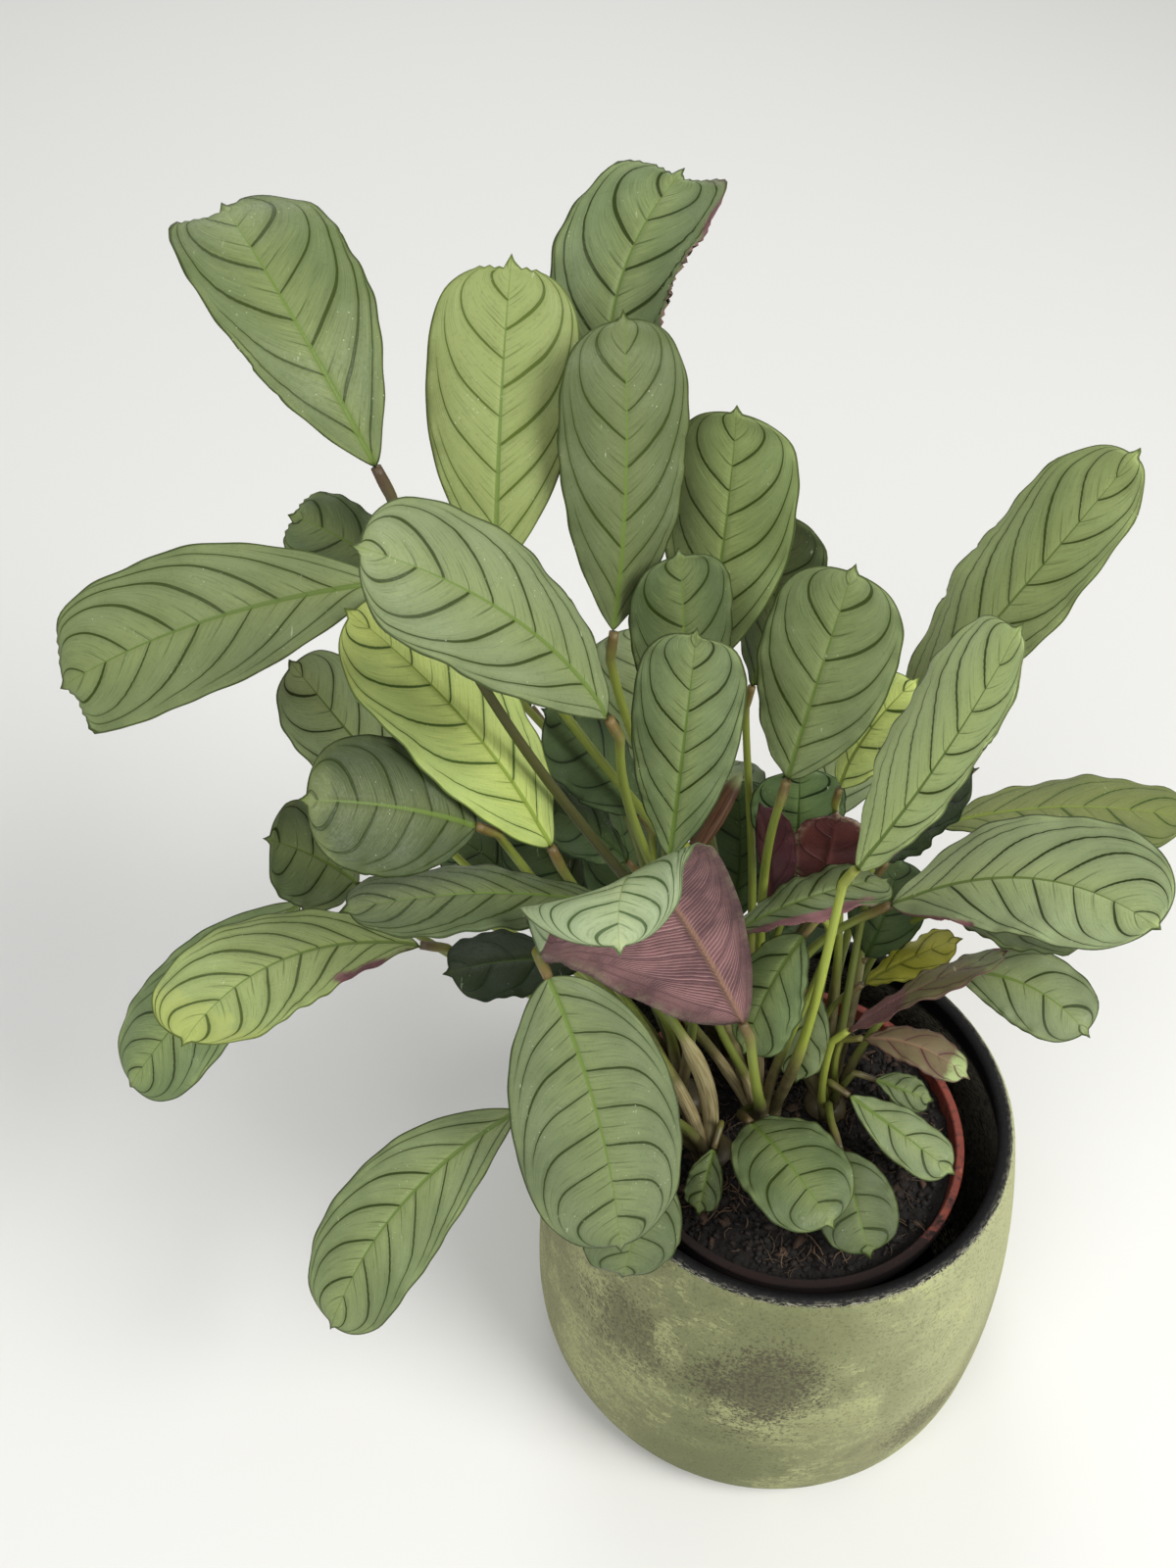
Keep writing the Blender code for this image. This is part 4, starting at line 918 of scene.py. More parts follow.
def upper_side(name, light, dark, vein, margin, tip, midrib_green):
    """The face of a leaf in its own colours."""
    material, tree, shader = new_material(name)
    spot, veins, margin_away = blade_sockets(tree)
    place = object_place(tree)
    tone = attribute(tree, "tone")
    patches = grain(tree, place, 45.0, detail=4.0, rough=0.6)
    mixed = calc(tree, "ADD", calc(tree, "MULTIPLY", patches, 0.6), calc(tree, "SUBTRACT", tone, 0.3))
    base = blend(tree, fade(tree, mixed, 0.0, 0.9), dark, light)
    base = blend(tree, calc(tree, "MULTIPLY", attribute(tree, "fresh"), 0.9), base, YOUNG_GREEN)
    beside = fade(tree, calc(tree, "ABSOLUTE", spot["Side"]), 0.0, 0.7, 0.30, 0.0)
    base = blend(tree, beside, base, margin)
    streak_place = put(tree, "CombineXYZ", {
        0: calc(tree, "MULTIPLY", veins["Level"], STREAKS),
        1: calc(tree, "MULTIPLY", spot["Side"], 3.0), 2: attribute(tree, "number")})
    streaks = grain(tree, streak_place, 1.0, detail=2.0)
    base = blend(tree, fade(tree, streaks, 0.50, 0.78, 0.0, 0.30), base, vein)
    base = blend(tree, fade(tree, streaks, 0.48, 0.22, 0.0, 0.34), base, margin)
    fine = grain(tree, place, 900.0, detail=2.0)
    base = blend(tree, fade(tree, fine, 0.55, 0.75, 0.0, 0.14), base, vein)
    zone = fade(tree, margin_away, 0.0, MARGIN_ZONE, 0.30, 0.0)
    base = blend(tree, calc(tree, "MULTIPLY", zone, fade(tree, patches, 0.40, 0.65)), base, margin)
    blotch = grain(tree, place, 90.0, detail=5.0, rough=0.7)
    reach = calc(tree, "MULTIPLY_ADD", calc(tree, "SUBTRACT", blotch, 0.5), 0.35, spot["Share"])
    yellow = calc(tree, "MULTIPLY", fade(tree, reach, 0.82, 0.92, 0.0, 0.55), attribute(tree, "yellow"))
    # Each leaf's lightness, partly its own tone and partly painted light and shade.
    base = blend(tree, 1.0, base, attribute(tree, "light"), "MULTIPLY")
    base = blend(tree, yellow, base, tip)
    vein = blend(tree, calc(tree, "MULTIPLY", attribute(tree, "fresh"), 1.2), vein, YOUNG_VEIN)
    base = blend(tree, calc(tree, "MULTIPLY", veins["Shade"], 0.22), base, vein)
    base = blend(tree, calc(tree, "MULTIPLY", veins["Feathers"], 0.60), base, vein)
    base = blend(tree, calc(tree, "MULTIPLY", veins["Veins"], 0.97), base, vein)
    rib_half = calc(tree, "MULTIPLY", fade(tree, spot["Share"], 0.0, 1.0, 1.35, 0.30), MIDRIB_HALF_COLOUR)
    away = calc(tree, "ABSOLUTE", spot["Offset"])
    rib = fade(tree, calc(tree, "DIVIDE", away, rib_half), 0.75, 1.2, 1.0, 0.0)
    strength = fade(tree, spot["Share"], 0.75, 1.0, 0.85, 0.45)
    base = blend(tree, calc(tree, "MULTIPLY", rib, strength), base, midrib_green)
    edge = fade(tree, margin_away, MARGIN_LINE * 0.6, MARGIN_LINE * 1.6, 0.8, 0.0)
    base = blend(tree, edge, base, vein)
    specks = put(tree, "TexVoronoi", {"Vector": place, "Scale": 420.0}, output="Distance")
    dots = calc(tree, "MULTIPLY", fade(tree, specks, 0.05, 0.13, 1.0, 0.0), fade(tree, patches, 0.5, 0.62))
    base = blend(tree, calc(tree, "MULTIPLY", dots, 0.5), base, SCRATCH_PALE)
    scratch_place = put(tree, "Mapping", {"Vector": place, "Rotation": (0.4, 0.7, 0.9), "Scale": (1.0, 0.10, 0.35)})
    scratches = fade(tree, grain(tree, scratch_place, 420.0, detail=3.0, rough=0.7), 0.66, 0.74)
    worn = calc(tree, "MULTIPLY", scratches, fade(tree, blotch, 0.52, 0.62, 0.0, 0.5))
    base = blend(tree, worn, base, SCRATCH_PALE)
    purple, _ = pleated_back(tree, place, veins, MAUVE_DARK, MAUVE_LIGHT, MAUVE_PLEAT, 0.6)
    base = blend(tree, attribute(tree, "turned"), base, purple)
    rough = calc(tree, "ADD", fade(tree, fine, 0.3, 0.7, 0.42, 0.56), calc(tree, "MULTIPLY", veins["Veins"], -0.06))
    height = calc(tree, "ADD", calc(tree, "MULTIPLY", veins["Veins"], -0.5), calc(tree, "MULTIPLY", fine, 0.12))
    height = calc(tree, "ADD", height, calc(tree, "MULTIPLY", streaks, 0.40))
    shader.inputs["Specular IOR Level"].default_value = LEAF_GLOSS
    finish(tree, shader, base, rough, height, strength=0.5, distance=0.0007)
    return material


print("lighter margin in millimetres:", 1000 * MARGIN_ZONE)

# %% [markdown]
# ## The lower side of a blade
# The back of the leaf is purple or mauve. Fine pale pleats sweep from the reddish rib to the margin, along the same
# levels as the veins, only many more of them.

# %% Lower side
DRY_EDGE = colour(150, 138, 112)
DRY_ZONE = 0.0050


def lower_side(name, light, dark, pleat, rib_colour, strength):
    """The back of a leaf in its own colours."""
    material, tree, shader = new_material(name)
    spot, veins, margin_away = blade_sockets(tree)
    place = object_place(tree)
    base, pleats = pleated_back(tree, place, veins, dark, light, pleat, strength)
    base = blend(tree, calc(tree, "MULTIPLY", veins["Veins"], 0.5), base, dark)
    rib_half = calc(tree, "MULTIPLY", fade(tree, spot["Share"], 0.0, 1.0, 1.2, 0.3), RIB_HALF)
    away = calc(tree, "ABSOLUTE", spot["Offset"])
    rib = fade(tree, calc(tree, "DIVIDE", away, rib_half), 0.7, 1.3, 1.0, 0.0)
    base = blend(tree, calc(tree, "MULTIPLY", rib, 0.8), base, rib_colour)
    dry = grain(tree, place, 160.0, detail=4.0, rough=0.7)
    fray = calc(tree, "MULTIPLY", fade(tree, margin_away, 0.0, DRY_ZONE, 0.7, 0.0), fade(tree, dry, 0.42, 0.62))
    base = blend(tree, fray, base, DRY_EDGE)
    fine = grain(tree, place, 800.0, detail=2.0)
    rough = fade(tree, fine, 0.3, 0.7, 0.42, 0.58)
    height = calc(tree, "ADD", calc(tree, "MULTIPLY", pleats, strength), calc(tree, "MULTIPLY", fine, 0.1))
    height = calc(tree, "ADD", height, calc(tree, "MULTIPLY", veins["Veins"], 0.6))
    finish(tree, shader, base, rough, height, strength=0.8, distance=0.0009)
    return material


print("pleats for each vein:", PLEATS)

# %% Leaf materials
MAUVE = lower_side("back_mauve", MAUVE_LIGHT, MAUVE_DARK, MAUVE_PLEAT, MAUVE_RIB, 0.9)
WINE = lower_side("back_wine", colour(92, 46, 44), colour(62, 28, 32), colour(104, 56, 62), colour(74, 32, 32),
                  0.12)
FACES = {
    "silver": upper_side("face_silver", colour(127, 140, 102), colour(82, 97, 62), colour(40, 54, 6),
                         colour(138, 151, 88), colour(164, 174, 92), colour(96, 118, 50)),
    "yellow": upper_side("face_yellow", colour(152, 164, 98), colour(126, 142, 82), colour(58, 80, 20),
                         colour(172, 182, 92), colour(196, 196, 92), colour(122, 142, 52)),
    "olive": upper_side("face_olive", colour(172, 170, 66), colour(140, 138, 44), colour(92, 96, 24),
                        colour(178, 176, 84), colour(180, 170, 84), colour(126, 130, 44)),
    # The deep kind's darker greens are painted shade, for leaves that stand in the shade inside the plant.
    "deep": upper_side("face_deep_painted_shade", colour(82, 100, 64), colour(50, 68, 42), colour(28, 44, 18),
                       colour(92, 110, 58), colour(140, 150, 76), colour(58, 80, 32)),
    "purple": upper_side("face_curled", colour(172, 186, 148), colour(142, 160, 118), colour(66, 88, 46),
                         colour(178, 190, 134), colour(190, 196, 120), colour(126, 142, 84)),
    "young": upper_side("face_young", colour(126, 128, 84), colour(98, 80, 62), colour(84, 50, 52),
                        colour(128, 112, 88), colour(158, 178, 118), colour(134, 108, 84)),
    "red": upper_side("face_red", colour(76, 40, 46), colour(46, 22, 30), colour(58, 26, 32),
                      colour(88, 66, 60), colour(100, 70, 60), colour(84, 44, 46)),
}
print("leaf materials:", len(FACES) + 2)

# %% Make the blades
blades = []
for number, item in enumerate(LEAVES + INFILL):
    kind = KIND_OF.get(item.name, "silver")
    back = WINE if kind == "red" else MAUVE
    piece = fine_blade(item, number, [FACES[kind], back])
    if item in LEAVES:
        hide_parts("leaf_" + item.name)
    blades.append(piece)
print("blade faces:", sum(len(piece.data.polygons) for piece in blades))

# %% [markdown]
# ## The stalks
# A stalk starts in the crown as a broad pale sheath, runs up thin and green, and ends in a thicker brown joint
# behind the blade, which the plant uses to turn its leaf to the light. A curve with a bevel could make it too, but
# its thickness and its values for the material are easier to set here: each stalk is a disc that is extruded from
# section to section along a smooth path. All stalks of a clump are one piece.

# %% Stalk paths
CROWN_PLACES = {
    "left": (-0.046, 0.010),
    "front": (-0.035, -0.017),
    "middle": (-0.012, 0.007),
    "back": (-0.023, 0.034),
    "right": (0.016, 0.009),
}
STALK_START_HEIGHT = 0.154
STALK_START_OFFSET = 0.0042
STALK_JOINT_LENGTH = 0.010
STALK_TAPER = 1.55
STALK_TAPER_CURVE = 1.3
STALK_RISE = 0.45
STALK_LEAN = 0.10
STALK_SETTLE = 0.28
STALK_STRAIGHTNESS = 1.2
STALK_THICKNESS = 0.0010
STALK_THICKNESS_PER_WIDTH = 0.013
STALK_SECTION = 0.006
STALK_SIDES = 12


def smooth_path(points, count):
    """count points on the cubic curve with four control points."""
    t = np.linspace(0, 1, count)[:, None]
    a, b, c, d = (np.array(point) for point in points)
    return (1 - t) ** 3 * a + 3 * t * (1 - t) ** 2 * b + 3 * t * t * (1 - t) * c + t ** 3 * d


def stalk_start(clump, target):
    crown = np.array(CROWN_PLACES[clump])
    start = crown + STALK_START_OFFSET * unit(target[:2] - crown)
    return np.array((*start, STALK_START_HEIGHT))


def stalk_path(item):
    """From the crown up and over to the blade's joint, then straight on to the blade."""
    foot = np.array(item.foot)
    out = unit(midrib(item, BLADE_STEP) - midrib(item, 0.0))
    joint = foot - out * STALK_JOINT_LENGTH
    start = stalk_start(item.clump, foot)
    span = joint - start
    distance = np.linalg.norm(span)
    arrive = unit(STALK_STRAIGHTNESS * span / distance + out)
    bend = np.array(item.bend)
    rise = start + (0, 0, STALK_RISE * distance) + STALK_LEAN * span * (1, 1, 0) + bend
    settle = joint - arrive * STALK_SETTLE * distance + bend
    path = smooth_path((start, rise, settle, joint), int(distance / STALK_SECTION) + 6)
    end = [joint + (foot - joint) * share for share in (0.25, 0.5, 0.75, 1.0)]
    return np.vstack((path, end))


print("longest stalk path:", max(len(stalk_path(item)) for item in LEAVES), "sections")

# %% Stalk thickness
SHEATH_END = 0.40
SHEATH_FADE = 0.05
SHEATH_SWELL = 0.14
# The joint's length, and its middle and spread as shares of that, measured back from the blade.
JOINT_REACH = 0.014
JOINT_MIDDLE = 0.45
JOINT_SPREAD = 0.38
JOINT_SWELL = 0.20
# Old leaf sheaths that still wrap a stalk: their half width and how far up the stalk they reach.
SHEATHS = {"yellow_mid": (0.0037, 0.46), "centre_front": (0.0030, 0.26), "silver_purple": (0.0030, 0.34),
           "top_centre": (0.0031, 0.22), "front_big": (0.0028, 0.30), "dark_left": (0.0027, 0.28)}
SHEATH_TIP = 0.09


def path_lengths(path):
    return np.concatenate(((0.0,), np.cumsum(np.linalg.norm(np.diff(path, axis=0), axis=1))))


def stalk_radii(path, tip_radius):
    lengths = path_lengths(path)
    share = np.clip(lengths / lengths[-1], 0, 1)
    radii = tip_radius * (1 + (STALK_TAPER - 1) * (1 - share) ** STALK_TAPER_CURVE)
    sheath = np.clip((SHEATH_END - share) / SHEATH_FADE, 0, 1)
    to_end = (lengths[-1] - lengths) / JOINT_REACH
    joint = np.exp(-((to_end - JOINT_MIDDLE) / JOINT_SPREAD) ** 2)
    return radii * (1 + SHEATH_SWELL * sheath + JOINT_SWELL * joint)


def sheath_share(item, share):
    """1 where an old sheath wraps the stalk, running out to 0 over its tip."""
    if item.name not in SHEATHS:
        return np.zeros_like(share)
    return np.clip((SHEATHS[item.name][1] - share) / SHEATH_TIP, 0, 1)


print("stalks in an old sheath:", len(SHEATHS))

# %% Tube along a path


def section_frames(path):
    """A turning matrix for each point of a path, carried along it without a twist."""
    tangents = unit(np.gradient(path, axis=0))
    side = Vector(tangents[0]).orthogonal().normalized()
    frames = []
    for tangent in tangents:
        ahead = Vector(tangent)
        side = (side - ahead * side.dot(ahead)).normalized()
        frames.append(Matrix((side, ahead.cross(side), ahead)).transposed())
    return frames


def swept_tube(path, radii, sides):
    """A closed tube in a bmesh of its own, with how far along it each point lies."""
    shape = bmesh.new()
    along = shape.verts.layers.float.new("along")
    rolled = shape.verts.layers.float_vector.new("rolled")
    lengths = path_lengths(path)
    made = bmesh.ops.create_circle(shape, cap_ends=True, segments=sides, radius=1.0)
    ring = made["verts"]
    unit_ring = [vertex.co.copy() for vertex in ring]
    face = next(iter(shape.faces))
    frames = section_frames(path)
    for number, (place, radius, turn) in enumerate(zip(path, radii, frames)):
        if number > 0:
            grown = bmesh.ops.extrude_face_region(shape, geom=[face])
            if number > 1:
                bmesh.ops.delete(shape, geom=[face], context="FACES_ONLY")
            face = next(part for part in grown["geom"] if isinstance(part, bmesh.types.BMFace))
            ring = sorted_ring(face, ring)
        for vertex, spot in zip(ring, unit_ring):
            vertex.co = Vector(place) + turn @ Vector((spot.x * radius, spot.y * radius, 0.0))
            vertex[along] = lengths[number] / lengths[-1]
            vertex[rolled] = (spot.x, spot.y, lengths[number])
    bmesh.ops.recalc_face_normals(shape, faces=shape.faces)
    return shape


def sorted_ring(face, ring):
    """The new face's corners, each in the order of the old corner that it grew from."""
    by_place = {tuple(vertex.co): vertex for vertex in face.verts}
    return [by_place[tuple(vertex.co)] for vertex in ring]


def append_shape(target, shape, **values):
    """Copy one bmesh into another through a mesh, with plain values on its points."""
    mesh = bpy.data.meshes.new("part")
    shape.to_mesh(mesh)
    shape.free()
    for name, value in values.items():
        layer = mesh.attributes.new(name, "FLOAT", "POINT")
        layer.data.foreach_set("value", [value] * len(mesh.vertices))
    target.from_mesh(mesh)
    bpy.data.meshes.remove(mesh)


print("sections of the first stalk:", len(section_frames(stalk_path(LEAVES[0]))))

# %% [markdown]
# ## The finish of the stalks
# Colour follows the stalk from its sheath to its joint: pale straw and green below, fresh green in the middle and
# brown at the joint. Fine lines run along it. Each stalk has its own tone, from fresh yellow green to dark brown,
# and low among the others it darkens with painted shade. Six stalks keep an old straw-coloured sheath, and the young
# leaf that is still rolled up has a colour of its own.

# %% Stalk material
SHADE_TOP = 0.24
SHADE_LOW = 0.17


def stalk_material():
    material, tree, shader = new_material("stalk_green")
    place = object_place(tree)
    along, tone = attribute(tree, "along"), attribute(tree, "tone")
    rolled = put(tree, "Attribute", output="Vector", attribute_name="rolled", attribute_type="GEOMETRY")
    fibre_place = put(tree, "Mapping", {"Vector": rolled, "Scale": (5.0, 5.0, 60.0)})
    fibres = grain(tree, fibre_place, 1.0, detail=3.0)
    patches = grain(tree, place, 70.0, detail=4.0, rough=0.65)
    fresh = blend(tree, tone, colour(74, 84, 40), colour(158, 172, 66))
    sheath = blend(tree, fade(tree, patches, 0.35, 0.65), colour(104, 98, 58), colour(152, 142, 98))
    base = blend(tree, fade(tree, along, 0.24, 0.44), sheath, fresh)
    brown = blend(tree, fade(tree, patches, 0.3, 0.7), colour(70, 50, 30), colour(112, 88, 46))
    base = blend(tree, calc(tree, "MULTIPLY", attribute(tree, "joint"), fade(tree, tone, 0.85, 1.0, 0.9, 0.2)),
                 base, brown)
    base = blend(tree, fade(tree, fibres, 0.5, 0.75, 0.0, 0.30), base, colour(60, 66, 34))
    spear = attribute(tree, "spear")
    rolled_leaf = blend(tree, fade(tree, fibres, 0.35, 0.65), colour(82, 48, 36), colour(112, 80, 54))
    rolled_leaf = blend(tree, fade(tree, spear, 0.84, 0.97), rolled_leaf, colour(150, 160, 110))
    base = blend(tree, fade(tree, spear, 0.02, 0.08), base, rolled_leaf)
    straw = blend(tree, fade(tree, fibres, 0.35, 0.65), colour(142, 126, 84), colour(186, 174, 132))
    # Painted shade: the colour darkens towards the bottom, low among the stalks.
    low = fade(tree, put(tree, "SeparateXYZ", {0: place}, output=2), SHADE_TOP, SHADE_LOW, 0.0, 0.65)
    base = blend(tree, low, base, colour(50, 44, 28))
    base = blend(tree, calc(tree, "MULTIPLY", attribute(tree, "straw"), 0.85), base, straw)
    base = blend(tree, calc(tree, "MULTIPLY", attribute(tree, "dark"), 0.85), base, colour(54, 38, 30))
    rough = fade(tree, fibres, 0.3, 0.7, 0.38, 0.55)
    finish(tree, shader, base, rough, fibres, strength=0.35, distance=0.0006)
    return material


STALK = stalk_material()
print("nodes of the stalks' material:", len(STALK.node_tree.nodes))

# %% One stalk
JOINT_BROWN = 1.25
DARK_STALKS = {"upper_left": 0.75, "top_back": 0.6, "red_back": 0.8, "red_flap": 0.8, "purple_back": 0.1}
FRESH_STALKS = {"right_mid": 0.95, "young_purple": 1.0, "young_pink": 0.9, "yellow_small": 0.8, "in_pot_right": 0.8}


def add_stalk(target, item, number):
    path = stalk_path(item)
    tip_radius = STALK_THICKNESS + STALK_THICKNESS_PER_WIDTH * item.width
    radii = stalk_radii(path, tip_radius)
    lengths = path_lengths(path)
    wrapped = sheath_share(item, lengths / lengths[-1])
    radii = np.maximum(radii, SHEATHS.get(item.name, (0.0, 0.0))[0] * wrapped ** 0.5)
    shape = swept_tube(path, radii, STALK_SIDES)
    joint = shape.verts.layers.float.new("joint")
    straw = shape.verts.layers.float.new("straw")
    along = shape.verts.layers.float["along"]
    for vertex in shape.verts:
        to_blade = (1 - vertex[along]) * lengths[-1] / JOINT_REACH
        vertex[joint] = min(max(JOINT_BROWN - to_blade, 0.0), 1.0)
        vertex[straw] = np.interp(vertex[along], lengths / lengths[-1], np.clip(wrapped * 3, 0, 1))
    tone = FRESH_STALKS.get(item.name, spread_value(number, 0.2, 0.5))
    append_shape(target, shape, tone=tone, dark=DARK_STALKS.get(item.name, 0.0))


print("stalks with a tone of their own:", len(FRESH_STALKS) + len(DARK_STALKS))

# %% The rolled leaf and the crown
SPEAR_SWELLING = ((0.0, 0.5), (0.25, 0.85), (0.4, 0.96), (0.55, 1.0),
                  (0.7, 0.9), (0.85, 0.7), (0.95, 0.4), (1.0, 0.1))
SPEAR_STALK_RADIUS = 0.0019
CROWN_RADIUS = 0.010
CROWN_LOW = 0.150
CROWN_TOP = 0.1625
CROWN_SWELLING = ((0.0, 1.0), (0.4, 1.0), (0.7, 0.92), (0.9, 0.7), (1.0, 0.35))


def add_spear(target):
    """The rolled young leaf on its stalk."""
    stalk = stalk_path(SPEAR)
    rolled = midrib(SPEAR, [share for share, _ in SPEAR_SWELLING])[1:]
    radii = [*stalk_radii(stalk, SPEAR_STALK_RADIUS)]
    radii += [SPEAR.width / 2 * swelling for _, swelling in SPEAR_SWELLING[1:]]
    shape = swept_tube(np.vstack((stalk, rolled)), radii, STALK_SIDES)
    shape.verts.layers.float.new("joint")
    spear = shape.verts.layers.float.new("spear")
    along = shape.verts.layers.float["along"]
    foot = path_lengths(stalk)[-1] / path_lengths(np.vstack((stalk, rolled)))[-1]
    for vertex in shape.verts:
        vertex[spear] = max((vertex[along] - foot) / (1 - foot), 0.0)
    append_shape(target, shape, tone=0.3, dark=0.0)


def add_crown(target, clump):
    """The short thick body from which the stalks of a clump grow."""
    x, y = CROWN_PLACES[clump]
    path = np.array([(x, y, CROWN_LOW + (CROWN_TOP - CROWN_LOW) * share) for share, _ in CROWN_SWELLING])
    radii = [CROWN_RADIUS * swelling for _, swelling in CROWN_SWELLING]
    shape = swept_tube(path, radii, 2 * STALK_SIDES)
    along = shape.verts.layers.float["along"]
    for vertex in shape.verts:
        vertex[along] = 0.0
    shape.verts.layers.float.new("joint")
    append_shape(target, shape, tone=0.3, dark=0.35)


print("height of a crown:", round(CROWN_TOP - CROWN_LOW, 4))

# %% Make the stalks
for clump in CROWN_PLACES:
    clump_shape = bmesh.new()
    for layer_name in ("along", "joint", "tone", "dark", "spear", "straw"):
        clump_shape.verts.layers.float.new(layer_name)
    clump_shape.verts.layers.float_vector.new("rolled")
    for number, item in enumerate(LEAVES + INFILL):
        if item.clump == clump:
            add_stalk(clump_shape, item, number)
    if clump == SPEAR.clump:
        add_spear(clump_shape)
    add_crown(clump_shape, clump)
    stalks = new_piece("stalks_" + clump, clump_shape, [STALK])
    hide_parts("stems_" + clump)
    print(stalks.name, len(stalks.data.polygons), "faces")

# %% [markdown]
# ## The cover pot
# A thrown pot is a solid of revolution, so its half outline is spun about the upright axis: up the inside, over
# the round rim, down the belly and under the foot. A cylinder could be pulled into shape instead, but the outline
# is the fixed model's own, only with many more points, so the two agree everywhere.

# %% Cover pot shape
POT_HEIGHT = 0.175
POT_RIM_RADIUS = 0.095
POT_BELLY_RADIUS = 0.1115
POT_BELLY_HEIGHT = 0.045
POT_FOOT_RADIUS = 0.098
POT_FOOT_ROUNDNESS = 4
POT_FOOT_FULLNESS = 0.55
POT_NARROWING = 1.9
POT_WALL = 0.007
POT_FLOOR = 0.010
POT_INNER_CURVE = 0.012
POT_STEPS = 160
POT_INNER_RINGS = 22
POT_OUTER_RINGS = 34
POT_FOOT_RINGS = (0.038, 0.032, 0.026, 0.020, 0.015, 0.010, 0.006, 0.003, 0.001)


def pot_outer_radius(height):
    """The cover pot's outer radius: a full round foot, then a slow narrowing to the rim."""
    if height < POT_BELLY_HEIGHT:
        swell = (1 - (1 - height / POT_BELLY_HEIGHT) ** POT_FOOT_ROUNDNESS) ** POT_FOOT_FULLNESS
        return POT_FOOT_RADIUS + (POT_BELLY_RADIUS - POT_FOOT_RADIUS) * swell
    rise = (height - POT_BELLY_HEIGHT) / (POT_HEIGHT - POT_BELLY_HEIGHT)
    return POT_BELLY_RADIUS - (POT_BELLY_RADIUS - POT_RIM_RADIUS) * rise ** POT_NARROWING


def pot_outline():
    """Radius and height, from the middle of the floor inside to the middle of the underside."""
    lip = POT_WALL / 2
    rim = POT_HEIGHT - lip
    foot = pot_outer_radius(0.0) - 2 * POT_WALL
    points = [(0.0, POT_FLOOR), (foot * 0.5, POT_FLOOR), (foot, POT_FLOOR)]
    inner_heights = np.linspace(POT_FLOOR + POT_INNER_CURVE, rim, POT_INNER_RINGS)
    points += [(pot_outer_radius(h) - POT_WALL, h) for h in inner_heights]
    for angle in np.radians(range(165, 0, -15)):
        points.append((POT_RIM_RADIUS - lip + lip * math.cos(angle), rim + lip * math.sin(angle)))
    outer_heights = (*np.linspace(rim, POT_BELLY_HEIGHT, POT_OUTER_RINGS), *POT_FOOT_RINGS)
    points += [(pot_outer_radius(h), h) for h in outer_heights]
    points += [(POT_FOOT_RADIUS, 0.0), (POT_FOOT_RADIUS * 0.5, 0.0), (0.0, 0.0)]
    return points


def spun(outline, centre, steps):
    """A closed solid from a half outline spun about the upright axis."""
    shape = bmesh.new()
    row = [shape.verts.new((centre[0] + radius, centre[1], height)) for radius, height in outline]
    edges = [shape.edges.new(pair) for pair in zip(row, row[1:])]
    bmesh.ops.spin(shape, geom=row + edges, cent=(centre[0], centre[1], 0.0), axis=(0, 0, 1),
                   angle=math.tau, steps=steps, use_merge=True)
    bmesh.ops.remove_doubles(shape, verts=shape.verts, dist=0.00001)
    bmesh.ops.recalc_face_normals(shape, faces=shape.faces)
    return shape


print("pot outline points:", len(pot_outline()))

# %% [markdown]
# ## The pot's finish
# The pot is glazed matt black inside and over the rim, then brushed green outside, so the edge between the two is
# ragged, with dry strokes of pale paint on the black. The green is uneven: lighter brushed patches, grey brown
# smudges where it has worn thin, and a gritty grain. One node group makes all these patterns from noise. They run
# on the object's own place, so they need no unwrapping and stay put. The right side is painted lighter as well, as
# painted light where the main lamp falls.

# %% Node group: worn paint
WORN_NAMES = ("Patches", "Smudges", "Strokes", "Flakes", "Grit")
WORN, WORN_IN, WORN_OUT = new_group(
    "worn paint",
    {"Place": ("Vector", None), "Patch Scale": ("Float", 18.0), "Grit Scale": ("Float", 700.0)},
    {name: "Float" for name in WORN_NAMES},
)


def fill_worn_group(tree, source, target):
    place = source["Place"]
    patches = grain(tree, place, source["Patch Scale"], detail=6.0, rough=0.62, distortion=0.4)
    broad = grain(tree, place, calc(tree, "MULTIPLY", source["Patch Scale"], 0.55), detail=3.0, rough=0.5)
    grit = grain(tree, place, source["Grit Scale"], detail=4.0, rough=0.7)
    wide = put(tree, "Mapping", {"Vector": place, "Scale": (1.0, 1.0, 2.2)})
    strokes = grain(tree, wide, 170.0, detail=8.0, rough=0.80, distortion=0.4)
    flaky = grain(tree, wide, 110.0, detail=9.0, rough=0.80, distortion=0.4)
    flaked = calc(tree, "MULTIPLY_ADD", calc(tree, "SUBTRACT", patches, 0.5), 0.9, flaky)
    flakes = calc(tree, "MULTIPLY", fade(tree, flaked, 0.545, 0.575, 0.0, 0.60),
                  fade(tree, grit, 0.36, 0.52, 0.3, 1.0))
    smudges = calc(tree, "MULTIPLY", fade(tree, broad, 0.50, 0.66), fade(tree, grit, 0.36, 0.56, 0.45, 1.0))
    for socket, name in zip((patches, smudges, strokes, flakes, grit), WORN_NAMES):
        tree.links.new(socket, target[name])


fill_worn_group(WORN, WORN_IN, WORN_OUT)
print("nodes that wear the paint:", len(WORN.nodes))

# %% Paint of the cover pot
# Large smudges: middle, half sizes and strength.
SMUDGES = (((-0.012, -0.108, 0.108), (0.027, 0.05, 0.034), 0.95),
           ((0.070, -0.086, 0.048), (0.030, 0.04, 0.022), 0.75),
           ((-0.070, -0.078, 0.112), (0.024, 0.04, 0.026), 0.60))


